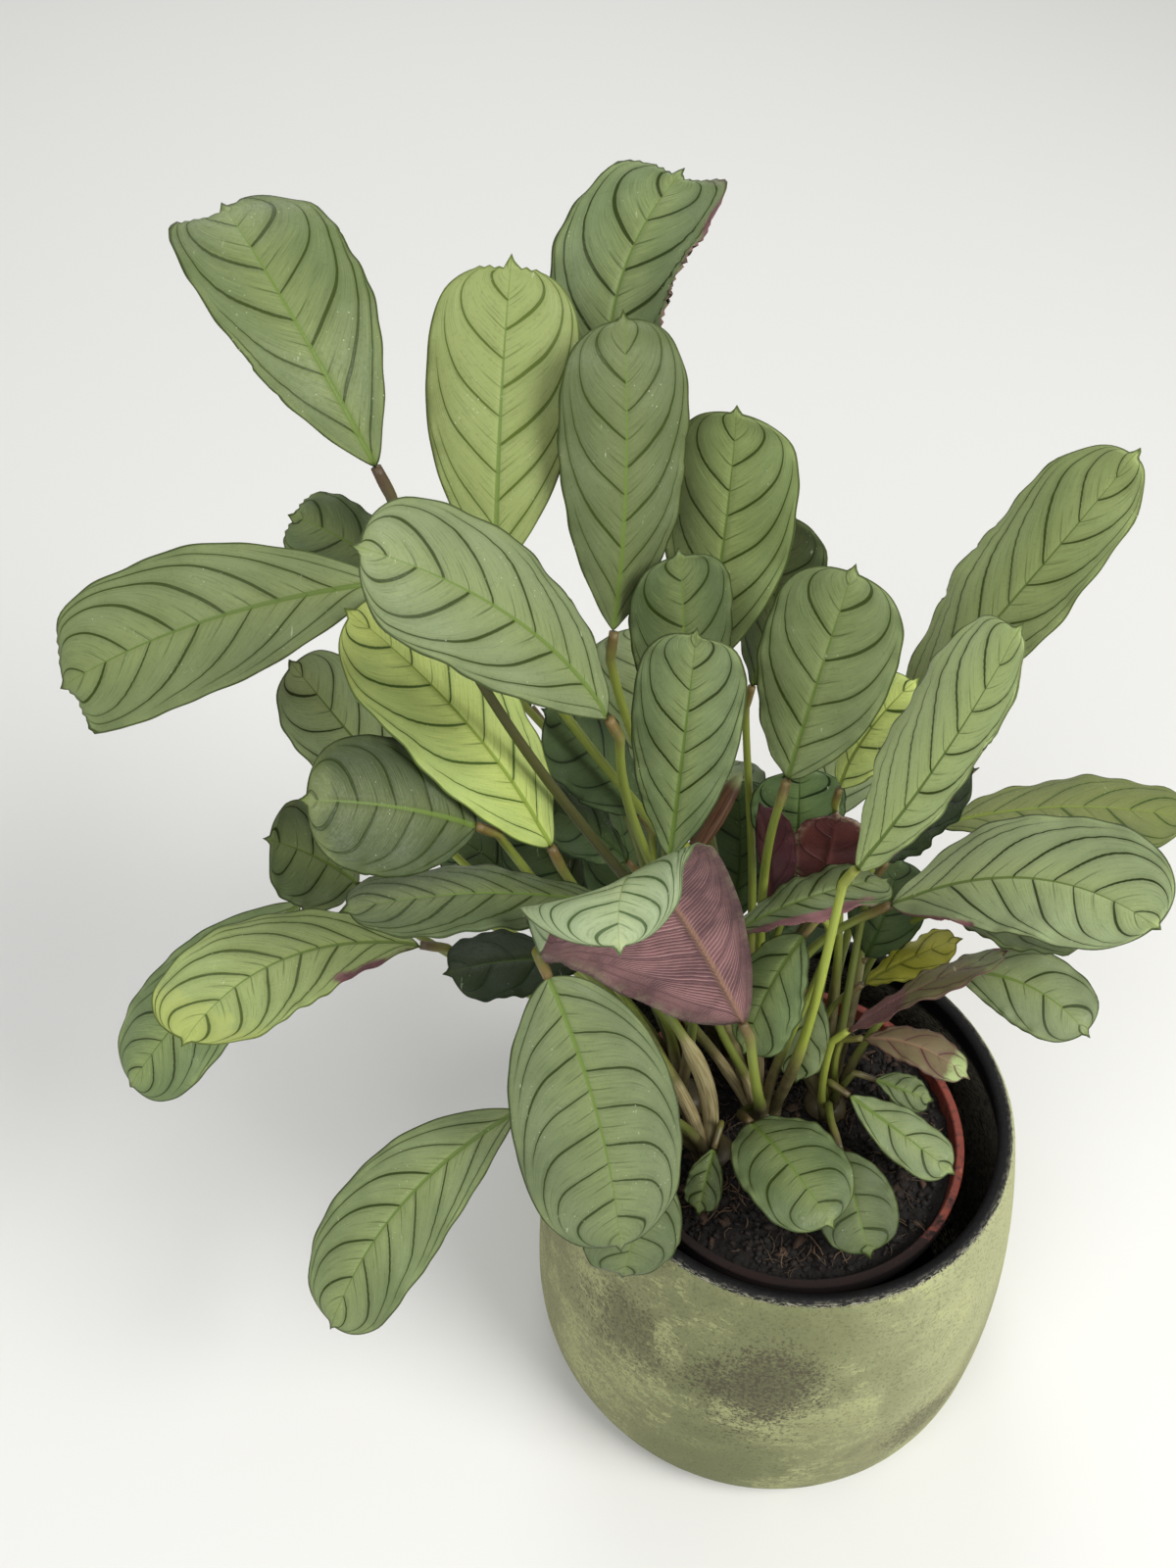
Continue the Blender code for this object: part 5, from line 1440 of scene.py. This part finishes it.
def paint_colour_with_painted_light(tree, place, split, worn):
    """The brushed green outside, lighter towards the left, with painted light on the right side, and flakes, grime
    and smudges.
    """
    base = blend(tree, fade(tree, worn["Patches"], 0.36, 0.64), colour(118, 122, 86), colour(138, 142, 102))
    left_side = fade(tree, split.outputs[0], -0.035, -0.105, 0.0, 0.40)
    base = blend(tree, left_side, base, colour(166, 164, 126))
    # Painted light: the right side, where the main lamp falls, is lighter.
    right = calc(tree, "ADD", split.outputs[0], calc(tree, "MULTIPLY", worn["Patches"], 0.08))
    base = blend(tree, fade(tree, right, 0.03, 0.13, 0.0, 0.75), base, colour(182, 185, 142))
    base = blend(tree, worn["Flakes"], base, colour(176, 180, 128))
    base = blend(tree, fade(tree, worn["Strokes"], 0.46, 0.30, 0.0, 0.35), base, colour(98, 96, 68))
    base = blend(tree, calc(tree, "MULTIPLY", worn["Smudges"], 0.45), base, colour(98, 93, 72))
    base = blend(tree, fade(tree, worn["Grit"], 0.50, 0.36, 0.0, 0.50), base, colour(86, 88, 58))
    for centre, size, strongest in SMUDGES:
        centred = put(tree, "Mapping", {"Vector": place, "Location": centre, "Scale": size}, vector_type="TEXTURE")
        ragged = put(tree, "VectorMath", {0: centred}, output="Value", operation="LENGTH")
        for pattern, amount in (("Patches", 2.2), ("Strokes", 1.6), ("Grit", 2.4)):
            ragged = calc(tree, "MULTIPLY_ADD", calc(tree, "SUBTRACT", worn[pattern], 0.5), amount, ragged)
        rub = calc(tree, "MULTIPLY", fade(tree, ragged, 0.45, 1.15, strongest, 0.0),
                   fade(tree, worn["Grit"], 0.42, 0.56, 1.0, 0.55))
        base = blend(tree, rub, base, colour(80, 75, 60))
    dots = fade(tree, worn["Grit"], 0.66, 0.74)
    return blend(tree, calc(tree, "MULTIPLY", dots, 0.4), base, colour(190, 190, 156))


print("large smudges:", len(SMUDGES))

# %% Glaze of the cover pot
GLAZE_EDGE = 0.0016
GLAZE_SOFTNESS = 0.0002
GLAZE_FRINGE = 0.0052


def inner_wall_mask(tree, height, radius):
    """1 on the pot's inner wall, whose radius is a wall's thickness less than the outer one at each height."""
    rise = calc(tree, "DIVIDE", calc(tree, "SUBTRACT", height, POT_BELLY_HEIGHT),
                POT_HEIGHT - POT_BELLY_HEIGHT, clamp=True)
    rise = calc(tree, "POWER", rise, POT_NARROWING)
    narrowed = calc(tree, "MULTIPLY", rise, POT_BELLY_RADIUS - POT_RIM_RADIUS)
    outer = calc(tree, "SUBTRACT", POT_BELLY_RADIUS, narrowed)
    drop = calc(tree, "SUBTRACT", POT_BELLY_HEIGHT, height)
    drop = calc(tree, "DIVIDE", drop, POT_BELLY_HEIGHT, clamp=True)
    swell = calc(tree, "SUBTRACT", 1.0, calc(tree, "POWER", drop, POT_FOOT_ROUNDNESS))
    swell = calc(tree, "POWER", swell, POT_FOOT_FULLNESS)
    tucked = calc(tree, "MULTIPLY", calc(tree, "SUBTRACT", 1.0, swell), POT_BELLY_RADIUS - POT_FOOT_RADIUS)
    outer = calc(tree, "SUBTRACT", outer, tucked)
    depth = calc(tree, "SUBTRACT", outer, radius)
    return fade(tree, depth, POT_WALL * 0.4, POT_WALL * 0.6)


def glaze_mask(tree, place, height, radius):
    """1 on the black glaze, whose edge is ragged and lies a little below the crest."""
    fringe = grain(tree, place, 750.0, detail=6.0, rough=0.8)
    fringe = calc(tree, "MULTIPLY", calc(tree, "SUBTRACT", fringe, 0.5), GLAZE_FRINGE)
    edge = POT_HEIGHT - GLAZE_EDGE
    high = fade(tree, calc(tree, "ADD", height, fringe), edge - GLAZE_SOFTNESS, edge + GLAZE_SOFTNESS)
    above_floor = fade(tree, height, POT_FLOOR - 0.003, POT_FLOOR - 0.001)
    inner = calc(tree, "MULTIPLY", inner_wall_mask(tree, height, radius), above_floor)
    return calc(tree, "MAXIMUM", high, inner)


def glaze_colour(tree, place, height, radius, grit):
    """Black, with dry strokes of pale paint on the outer edge of the rim."""
    soot = blend(tree, fade(tree, grit, 0.4, 0.7), colour(7, 7, 8), colour(20, 20, 22))
    stretched = put(tree, "Mapping", {"Vector": place, "Scale": (1.0, 1.0, 9.0)})
    scratched = grain(tree, stretched, 330.0, detail=4.0, rough=0.8)
    below_crest = fade(tree, height, POT_HEIGHT - 0.0012, POT_HEIGHT - 0.0003, 1.0, 0.15)
    outer_edge = fade(tree, radius, POT_RIM_RADIUS - 0.0034, POT_RIM_RADIUS - 0.0022)
    on_rim = calc(tree, "MULTIPLY", below_crest, outer_edge)
    dry_strokes = calc(tree, "MULTIPLY", fade(tree, scratched, 0.50, 0.55), on_rim)
    return blend(tree, dry_strokes, soot, colour(156, 154, 134))


print("edge of the glaze below the crest in millimetres:", 1000 * GLAZE_EDGE)

# %% Make the cover pot
PAINT_GLOSS = 0.25
GLAZE_ROUGHNESS = 0.62


def blend_value(tree, factor, first, second):
    return put(tree, "Mix", {0: factor, 2: first, 3: second}, output=0, data_type="FLOAT")


def cover_pot_material():
    material, tree, shader = new_material("pot_green_matt")
    place = object_place(tree)
    worn = use_group(tree, WORN, {"Place": place, "Patch Scale": 17.0, "Grit Scale": 650.0})
    split = tree.nodes.new("ShaderNodeSeparateXYZ")
    tree.links.new(place, split.inputs[0])
    x, y, height = split.outputs
    radius = calc(tree, "SQRT", calc(tree, "ADD", calc(tree, "MULTIPLY", x, x), calc(tree, "MULTIPLY", y, y)))
    black = glaze_mask(tree, place, height, radius)
    base = blend(tree, black, paint_colour_with_painted_light(tree, place, split, worn),
                 glaze_colour(tree, place, height, radius, worn["Grit"]))
    rough = blend_value(tree, black, fade(tree, worn["Grit"], 0.3, 0.7, 0.78, 0.95), GLAZE_ROUGHNESS)
    relief = calc(tree, "ADD", calc(tree, "MULTIPLY", worn["Grit"], 0.7),
                  calc(tree, "MULTIPLY", worn["Strokes"], 0.5))
    shader.inputs["Specular IOR Level"].default_value = PAINT_GLOSS
    finish(tree, shader, base, rough, relief, strength=0.35, distance=0.0008)
    return material


cover_pot = new_piece("pot_outer", spun(pot_outline(), (0.0, 0.0), POT_STEPS), [cover_pot_material()])
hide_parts("cover_pot")
print("cover pot faces:", len(cover_pot.data.polygons))

# %% [markdown]
# ## The growing pot
# A thin moulded pot in terracotta brown stands inside. Only its lip and a little of its wall show above the soil.
# It is spun like the cover pot, and five short cylinders cut the drain holes out of its floor, which is quicker and
# truer than building the floor around them.

# %% Growing pot shape
NURSERY_CENTRE = (0.0, -0.006)
NURSERY_TOP = 0.163
NURSERY_LIP_RADIUS = 0.075
NURSERY_LIP_HEIGHT = 0.010
NURSERY_LIP_STEP = 0.002
NURSERY_BASE = 0.0103
NURSERY_BASE_RADIUS = 0.056
NURSERY_WALL = 0.0016
NURSERY_STEPS = 140
NURSERY_FIRST_RING = 0.04
NURSERY_ROUNDING = 0.0005
NURSERY_CREASE = math.radians(40)


def nursery_outer_radius(height):
    """Outer radius of the tapered wall below the lip."""
    rise = (height - NURSERY_BASE) / (NURSERY_TOP - NURSERY_BASE)
    return NURSERY_BASE_RADIUS + (NURSERY_LIP_RADIUS - NURSERY_LIP_STEP - NURSERY_BASE_RADIUS) * rise


def nursery_outline():
    floor = NURSERY_BASE + NURSERY_WALL
    lip = NURSERY_TOP - NURSERY_LIP_HEIGHT
    inner = nursery_outer_radius(NURSERY_TOP) - NURSERY_WALL
    soft = NURSERY_ROUNDING
    inner_heights = (floor, *np.linspace(NURSERY_FIRST_RING, NURSERY_TOP - soft, 8))
    return [
        (0.0, floor), *[(nursery_outer_radius(h) - NURSERY_WALL, h) for h in inner_heights],
        (inner + soft, NURSERY_TOP), (NURSERY_LIP_RADIUS - soft, NURSERY_TOP),
        (NURSERY_LIP_RADIUS, NURSERY_TOP - soft), (NURSERY_LIP_RADIUS, lip + soft),
        (NURSERY_LIP_RADIUS - soft, lip), (nursery_outer_radius(lip), lip),
        *[(nursery_outer_radius(h), h) for h in np.linspace(lip - 0.02, NURSERY_FIRST_RING, 6)],
        (nursery_outer_radius(NURSERY_BASE), NURSERY_BASE), (0.0, NURSERY_BASE),
    ]


print("growing pot outline points:", len(nursery_outline()))

# %% Drain holes
DRAIN_HOLES = 5
DRAIN_RADIUS = 0.005
DRAIN_RING_RADIUS = 0.034
DRAIN_SIDES = 24


def drain_cutter():
    """Five short cylinders, one for each drain hole."""
    shape = bmesh.new()
    for number in range(DRAIN_HOLES):
        angle = math.tau * number / DRAIN_HOLES
        place = Matrix.Translation((NURSERY_CENTRE[0] + DRAIN_RING_RADIUS * math.cos(angle),
                                    NURSERY_CENTRE[1] + DRAIN_RING_RADIUS * math.sin(angle), NURSERY_BASE))
        bmesh.ops.create_cone(shape, cap_ends=True, segments=DRAIN_SIDES, radius1=DRAIN_RADIUS,
                              radius2=DRAIN_RADIUS, depth=6 * NURSERY_WALL, matrix=place)
    return new_object("drain_cutter", shape)


def cut_holes(piece, cutter):
    """Cut the holes for good, then take the cutter away."""
    boolean = piece.modifiers.new("drain", "BOOLEAN")
    boolean.object = cutter
    boolean.operation = "DIFFERENCE"
    boolean.solver = "EXACT"
    bpy.context.view_layer.update()
    cut_mesh = bpy.data.meshes.new_from_object(piece.evaluated_get(bpy.context.evaluated_depsgraph_get()))
    piece.modifiers.clear()
    piece.data = cut_mesh
    bpy.data.objects.remove(cutter, do_unlink=True)


print("drain holes:", DRAIN_HOLES)

# %% Make the growing pot
# Towards the front the pot turns nearly black. It starts at the first Y and is full at the second, with some noise.
FRONT_DARK_FROM, FRONT_DARK_FULL = -0.085, -0.105


def nursery_material():
    material, tree, shader = new_material("growing_pot_brown")
    place = object_place(tree)
    patches = grain(tree, place, 40.0, detail=4.0, rough=0.6)
    dust = grain(tree, place, 350.0, detail=5.0, rough=0.7)
    base = blend(tree, fade(tree, patches, 0.35, 0.65), colour(104, 46, 36), colour(132, 62, 48))
    base = blend(tree, fade(tree, dust, 0.50, 0.66, 0.0, 0.75), base, colour(40, 26, 20))
    stretched = put(tree, "Mapping", {"Vector": place, "Scale": (1.0, 1.0, 20.0)})
    scratches = grain(tree, stretched, 160.0, detail=2.0)
    base = blend(tree, fade(tree, scratches, 0.62, 0.72, 0.0, 0.35), base, colour(186, 118, 92))
    forward = put(tree, "SeparateXYZ", {0: place}, output=1)
    clods = grain(tree, place, 140.0, detail=5.0, rough=0.7)
    front_dark = calc(tree, "MULTIPLY_ADD", clods, -0.10, forward)
    base = blend(tree, fade(tree, front_dark, FRONT_DARK_FROM, FRONT_DARK_FULL, 0.0, 0.95), base, colour(10, 8, 6))
    rough = calc(tree, "MAXIMUM", fade(tree, dust, 0.35, 0.65, 0.42, 0.66),
                 fade(tree, front_dark, FRONT_DARK_FROM, FRONT_DARK_FULL, 0.4, 0.95))
    finish(tree, shader, base, rough, dust, strength=0.2, distance=0.0004)
    return material


growing_pot = new_piece("pot_growing", spun(nursery_outline(), NURSERY_CENTRE, NURSERY_STEPS),
                        [nursery_material()])
cut_holes(growing_pot, drain_cutter())
growing_pot.data.set_sharp_from_angle(angle=NURSERY_CREASE)
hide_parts("nursery_pot")
print("growing pot faces:", len(growing_pot.data.polygons))

# %% [markdown]
# ## The soil
# Dark peat fills the growing pot. Its surface could be a flat disc with relief in the material, but the picture
# looks across it from close by, so the body is a lumpy disc whose surface is really uneven.

# %% Soil body
SOIL_TOP = 0.156
SOIL_LUMP = 0.0022
SOIL_RELIEF = 0.0017
SOIL_WAVES = (95, 120, 210)
SOIL_GRAIN = 160
SOIL_COLUMNS = 170
SOIL_INSET = 0.0019
SOIL_FLOOR = 0.0122


def soil_radius():
    return nursery_outer_radius(SOIL_TOP) - SOIL_INSET


def soil_height(x, y):
    """The height of the soil's surface at a place."""
    out = math.hypot(x - NURSERY_CENTRE[0], y - NURSERY_CENTRE[1]) / soil_radius()
    in_x, in_y, aslant = SOIL_WAVES
    lump = math.sin(in_x * x + 1.3) * math.cos(in_y * y) + 0.6 * math.sin(aslant * (x + y))
    rough = noise.fractal(Vector((x * SOIL_GRAIN, y * SOIL_GRAIN, 0.0)), 0.9, 2.1, 5)
    return SOIL_TOP + SOIL_LUMP * lump * (1 - out ** 4) + SOIL_RELIEF * rough


def soil_shape():
    """A disc with the uneven surface, closed by a wall that narrows to a flat floor."""
    shape = bmesh.new()
    bmesh.ops.create_grid(shape, x_segments=SOIL_COLUMNS, y_segments=SOIL_COLUMNS, size=1.0)
    for vertex in shape.verts:
        x, y, _ = vertex.co
        place_x = NURSERY_CENTRE[0] + soil_radius() * x * math.sqrt(1 - y * y / 2)
        place_y = NURSERY_CENTRE[1] + soil_radius() * y * math.sqrt(1 - x * x / 2)
        vertex.co = (place_x, place_y, soil_height(place_x, place_y))
    rim = [edge for edge in shape.edges if edge.is_boundary]
    grown = bmesh.ops.extrude_edge_only(shape, edges=rim)["geom"]
    low = [part for part in grown if isinstance(part, bmesh.types.BMVert)]
    narrow = (nursery_outer_radius(SOIL_FLOOR) - SOIL_INSET) / soil_radius()
    for vertex in low:
        vertex.co.x = NURSERY_CENTRE[0] + (vertex.co.x - NURSERY_CENTRE[0]) * narrow
        vertex.co.y = NURSERY_CENTRE[1] + (vertex.co.y - NURSERY_CENTRE[1]) * narrow
        vertex.co.z = SOIL_FLOOR
    bmesh.ops.contextual_create(shape, geom=[edge for edge in grown if isinstance(edge, bmesh.types.BMEdge)])
    bmesh.ops.recalc_face_normals(shape, faces=shape.faces)
    return shape


print("height of the soil in its middle:", round(soil_height(*NURSERY_CENTRE), 4))

# %% Soil material


def soil_material():
    material, tree, shader = new_material("peat_dark")
    place = object_place(tree)
    clods = grain(tree, place, 260.0, detail=6.0, rough=0.75)
    crumbs = put(tree, "TexVoronoi", {"Vector": place, "Scale": 520.0}, output="Distance")
    base = blend(tree, fade(tree, clods, 0.35, 0.72), colour(8, 6, 4), colour(26, 19, 13))
    base = blend(tree, fade(tree, crumbs, 0.05, 0.25, 0.4, 0.0), base, colour(42, 31, 21))
    rough = fade(tree, clods, 0.3, 0.7, 0.78, 0.98)
    height = calc(tree, "ADD", clods, calc(tree, "MULTIPLY", crumbs, 0.5))
    finish(tree, shader, base, rough, height, strength=0.8, distance=0.002)
    return material


PEAT = soil_material()
soil = new_piece("peat_body", soil_shape(), [PEAT])
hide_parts("soil")
print("soil faces:", len(soil.data.polygons))

# %% [markdown]
# ## Loose bits on the soil
# On the soil lie loose crumbs, flat bits of bark and curled brown fibres. Particles could scatter them, but plain
# loops leave real faces that every program can read. Each bit is a simple shape of a few faces, sized, turned and
# placed by draws from one generator with a fixed seed, so the soil comes out the same each time. The crowns are
# left free.

# %% Places and turns of the loose bits
FIBRE_STEPS = 5
FIBRE_SIDES = 4
CLEAR_OF_CROWN = 0.009
SOIL_SEED = 11
draw = random.Random(SOIL_SEED)


def soil_spot(margin):
    """A place on the soil, away from the crowns."""
    while True:
        out = (soil_radius() - margin) * math.sqrt(draw.random())
        angle = draw.uniform(0, math.tau)
        x = NURSERY_CENTRE[0] + out * math.cos(angle)
        y = NURSERY_CENTRE[1] + out * math.sin(angle)
        if all(math.hypot(x - cx, y - cy) > CLEAR_OF_CROWN for cx, cy in CROWN_PLACES.values()):
            return Vector((x, y, soil_height(x, y)))


def random_turn():
    angle = draw.uniform(0, math.tau)
    axis = Vector((draw.gauss(0, 1), draw.gauss(0, 1), draw.gauss(0, 1)))
    return Matrix.Rotation(angle, 4, axis)


def add_lump(shape, size, matrix, jag):
    """A little ball of a few faces, pressed and turned by its matrix, with each corner moved a little."""
    made = bmesh.ops.create_icosphere(shape, subdivisions=1, radius=size, matrix=matrix)
    for vertex in made["verts"]:
        vertex.co += Vector([draw.uniform(-1, 1) for _ in range(3)]) * size * jag


print("places to keep clear:", len(CROWN_PLACES))

# %% Crumb, bark and fibre


def add_crumb(shape):
    size = draw.uniform(0.0006, 0.0022) * (1.6 if draw.random() < 0.12 else 1.0)
    squeeze = Matrix.Diagonal((1.0, draw.uniform(0.6, 1.0), draw.uniform(0.4, 0.9), 1.0))
    place = Matrix.Translation(soil_spot(2 * size) + Vector((0, 0, size * 0.2)))
    add_lump(shape, size, place @ random_turn() @ squeeze, 0.22)


def add_bark(shape):
    size = draw.uniform(0.002, 0.0055)
    squeeze = Matrix.Diagonal((1.0, draw.uniform(0.3, 0.7), draw.uniform(0.10, 0.25), 1.0))
    tilt = Matrix.Rotation(draw.uniform(-0.5, 0.5), 4, "X") @ Matrix.Rotation(draw.uniform(0, math.tau), 4, "Z")
    place = Matrix.Translation(soil_spot(size) + Vector((0, 0, size * 0.15)))
    add_lump(shape, size, place @ tilt @ squeeze, 0.16)


def add_fibre(target):
    start = soil_spot(0.006)
    length = draw.uniform(0.004, 0.016)
    heading = draw.uniform(0, math.tau)
    curl = draw.uniform(-2.2, 2.2)
    path = []
    point = start.copy()
    for number in range(FIBRE_STEPS + 1):
        arch = math.sin(math.pi * (number / FIBRE_STEPS))
        path.append(tuple(point + Vector((0, 0, 0.0004 + 0.0022 * arch * draw.random()))))
        point += Vector((math.cos(heading), math.sin(heading), 0)) * length / FIBRE_STEPS
        point.z = soil_height(point.x, point.y)
        heading += curl / FIBRE_STEPS
    radius = draw.uniform(0.00012, 0.00038)
    append_shape(target, swept_tube(np.array(path), [radius] * FIBRE_STEPS + [radius * 0.5], FIBRE_SIDES))


print("pieces of a fibre:", FIBRE_STEPS)

# %% Scatter the loose bits
CRUMBS = 1500
BARK_BITS = 110
FIBRES = 420
crumb_shape, bark_shape, fibre_shape = bmesh.new(), bmesh.new(), bmesh.new()
for _ in range(CRUMBS):
    add_crumb(crumb_shape)
for _ in range(BARK_BITS):
    add_bark(bark_shape)
for _ in range(FIBRES):
    add_fibre(fibre_shape)
print("crumbs, bark, fibres:", len(crumb_shape.faces), len(bark_shape.faces), len(fibre_shape.faces))

# %% Finish of the loose bits


def bits_material(name, dark, light, scale):
    material, tree, shader = new_material(name)
    place = object_place(tree)
    tone = grain(tree, place, scale, detail=3.0)
    fine = grain(tree, place, 1500.0, detail=3.0)
    base = blend(tree, fade(tree, tone, 0.35, 0.65), dark, light)
    base = blend(tree, fade(tree, fine, 0.55, 0.75, 0.0, 0.4), base, dark)
    rough = fade(tree, fine, 0.3, 0.7, 0.7, 0.95)
    finish(tree, shader, base, rough, fine, strength=0.5, distance=0.0005)
    return material


LOOSE = (
    ("peat_crumbs", crumb_shape, bits_material("peat_crumb_brown", colour(8, 6, 4), colour(28, 20, 14), 110.0)),
    ("peat_bark", bark_shape, bits_material("bark_brown", colour(20, 14, 10), colour(74, 54, 38), 60.0)),
    ("peat_fibres", fibre_shape, bits_material("fibre_straw", colour(34, 25, 18), colour(100, 80, 60), 45.0)),
)
for name, shape, material in LOOSE:
    piece = new_piece(name, shape, [material])
print("loose pieces:", [name for name, _, _ in LOOSE])

# %% [markdown]
# ## Floor and light
# A plain pale floor, a large soft lamp high on the right as the main light, a weaker one on the left, a faint one
# behind, and an even pale surround. A sun lamp would be simpler, but its shadows are hard. Here the pot's right
# side comes out brighter than its left, helped by painted light in the pot's paint, and the shadows stay soft.

# %% Floor and light
FLOOR_HALF = 6.0
FLOOR_COLOUR = colour(222, 222, 220)
FLOOR_ROUGHNESS = 0.9
SURROUND = colour(240, 240, 238)
SURROUND_STRENGTH = 0.40
PLANT_MIDDLE = (-0.06, 0.02, 0.28)
# Name, place, size, power and tint of each lamp. All look at the middle of the plant.
LAMPS = (
    ("main_light", (1.5, -0.9, 2.1), 1.4, 62.0, (1.0, 0.985, 0.955)),
    ("fill_light", (-1.0, -1.6, 2.3), 1.8, 32.0, (0.98, 0.99, 1.0)),
    ("back_light", (-0.4, 1.9, 1.7), 1.4, 14.0, (0.99, 1.0, 1.0)),
)


def add_floor():
    shape = bmesh.new()
    bmesh.ops.create_grid(shape, x_segments=1, y_segments=1, size=FLOOR_HALF)
    floor = new_object("floor", shape)
    material, _, shader = new_material("floor_pale")
    shader.inputs["Base Color"].default_value = FLOOR_COLOUR
    shader.inputs["Roughness"].default_value = FLOOR_ROUGHNESS
    floor.data.materials.append(material)


def add_lamp(name, place, size, power, tint):
    lamp = bpy.data.lights.new(name, "AREA")
    lamp.shape = "DISK"
    lamp.size = size
    lamp.energy = power
    lamp.color = tint
    item = bpy.data.objects.new(name, lamp)
    item.location = place
    item.rotation_euler = (Vector(PLANT_MIDDLE) - Vector(place)).to_track_quat("-Z", "Y").to_euler()
    bpy.context.scene.collection.objects.link(item)


add_floor()
for lamp_values in LAMPS:
    add_lamp(*lamp_values)
world = bpy.data.worlds.new("surround")
world.use_nodes = True
world.node_tree.nodes["Background"].inputs["Color"].default_value = SURROUND
world.node_tree.nodes["Background"].inputs["Strength"].default_value = SURROUND_STRENGTH
bpy.context.scene.world = world
bpy.context.scene.view_settings.view_transform = "Standard"
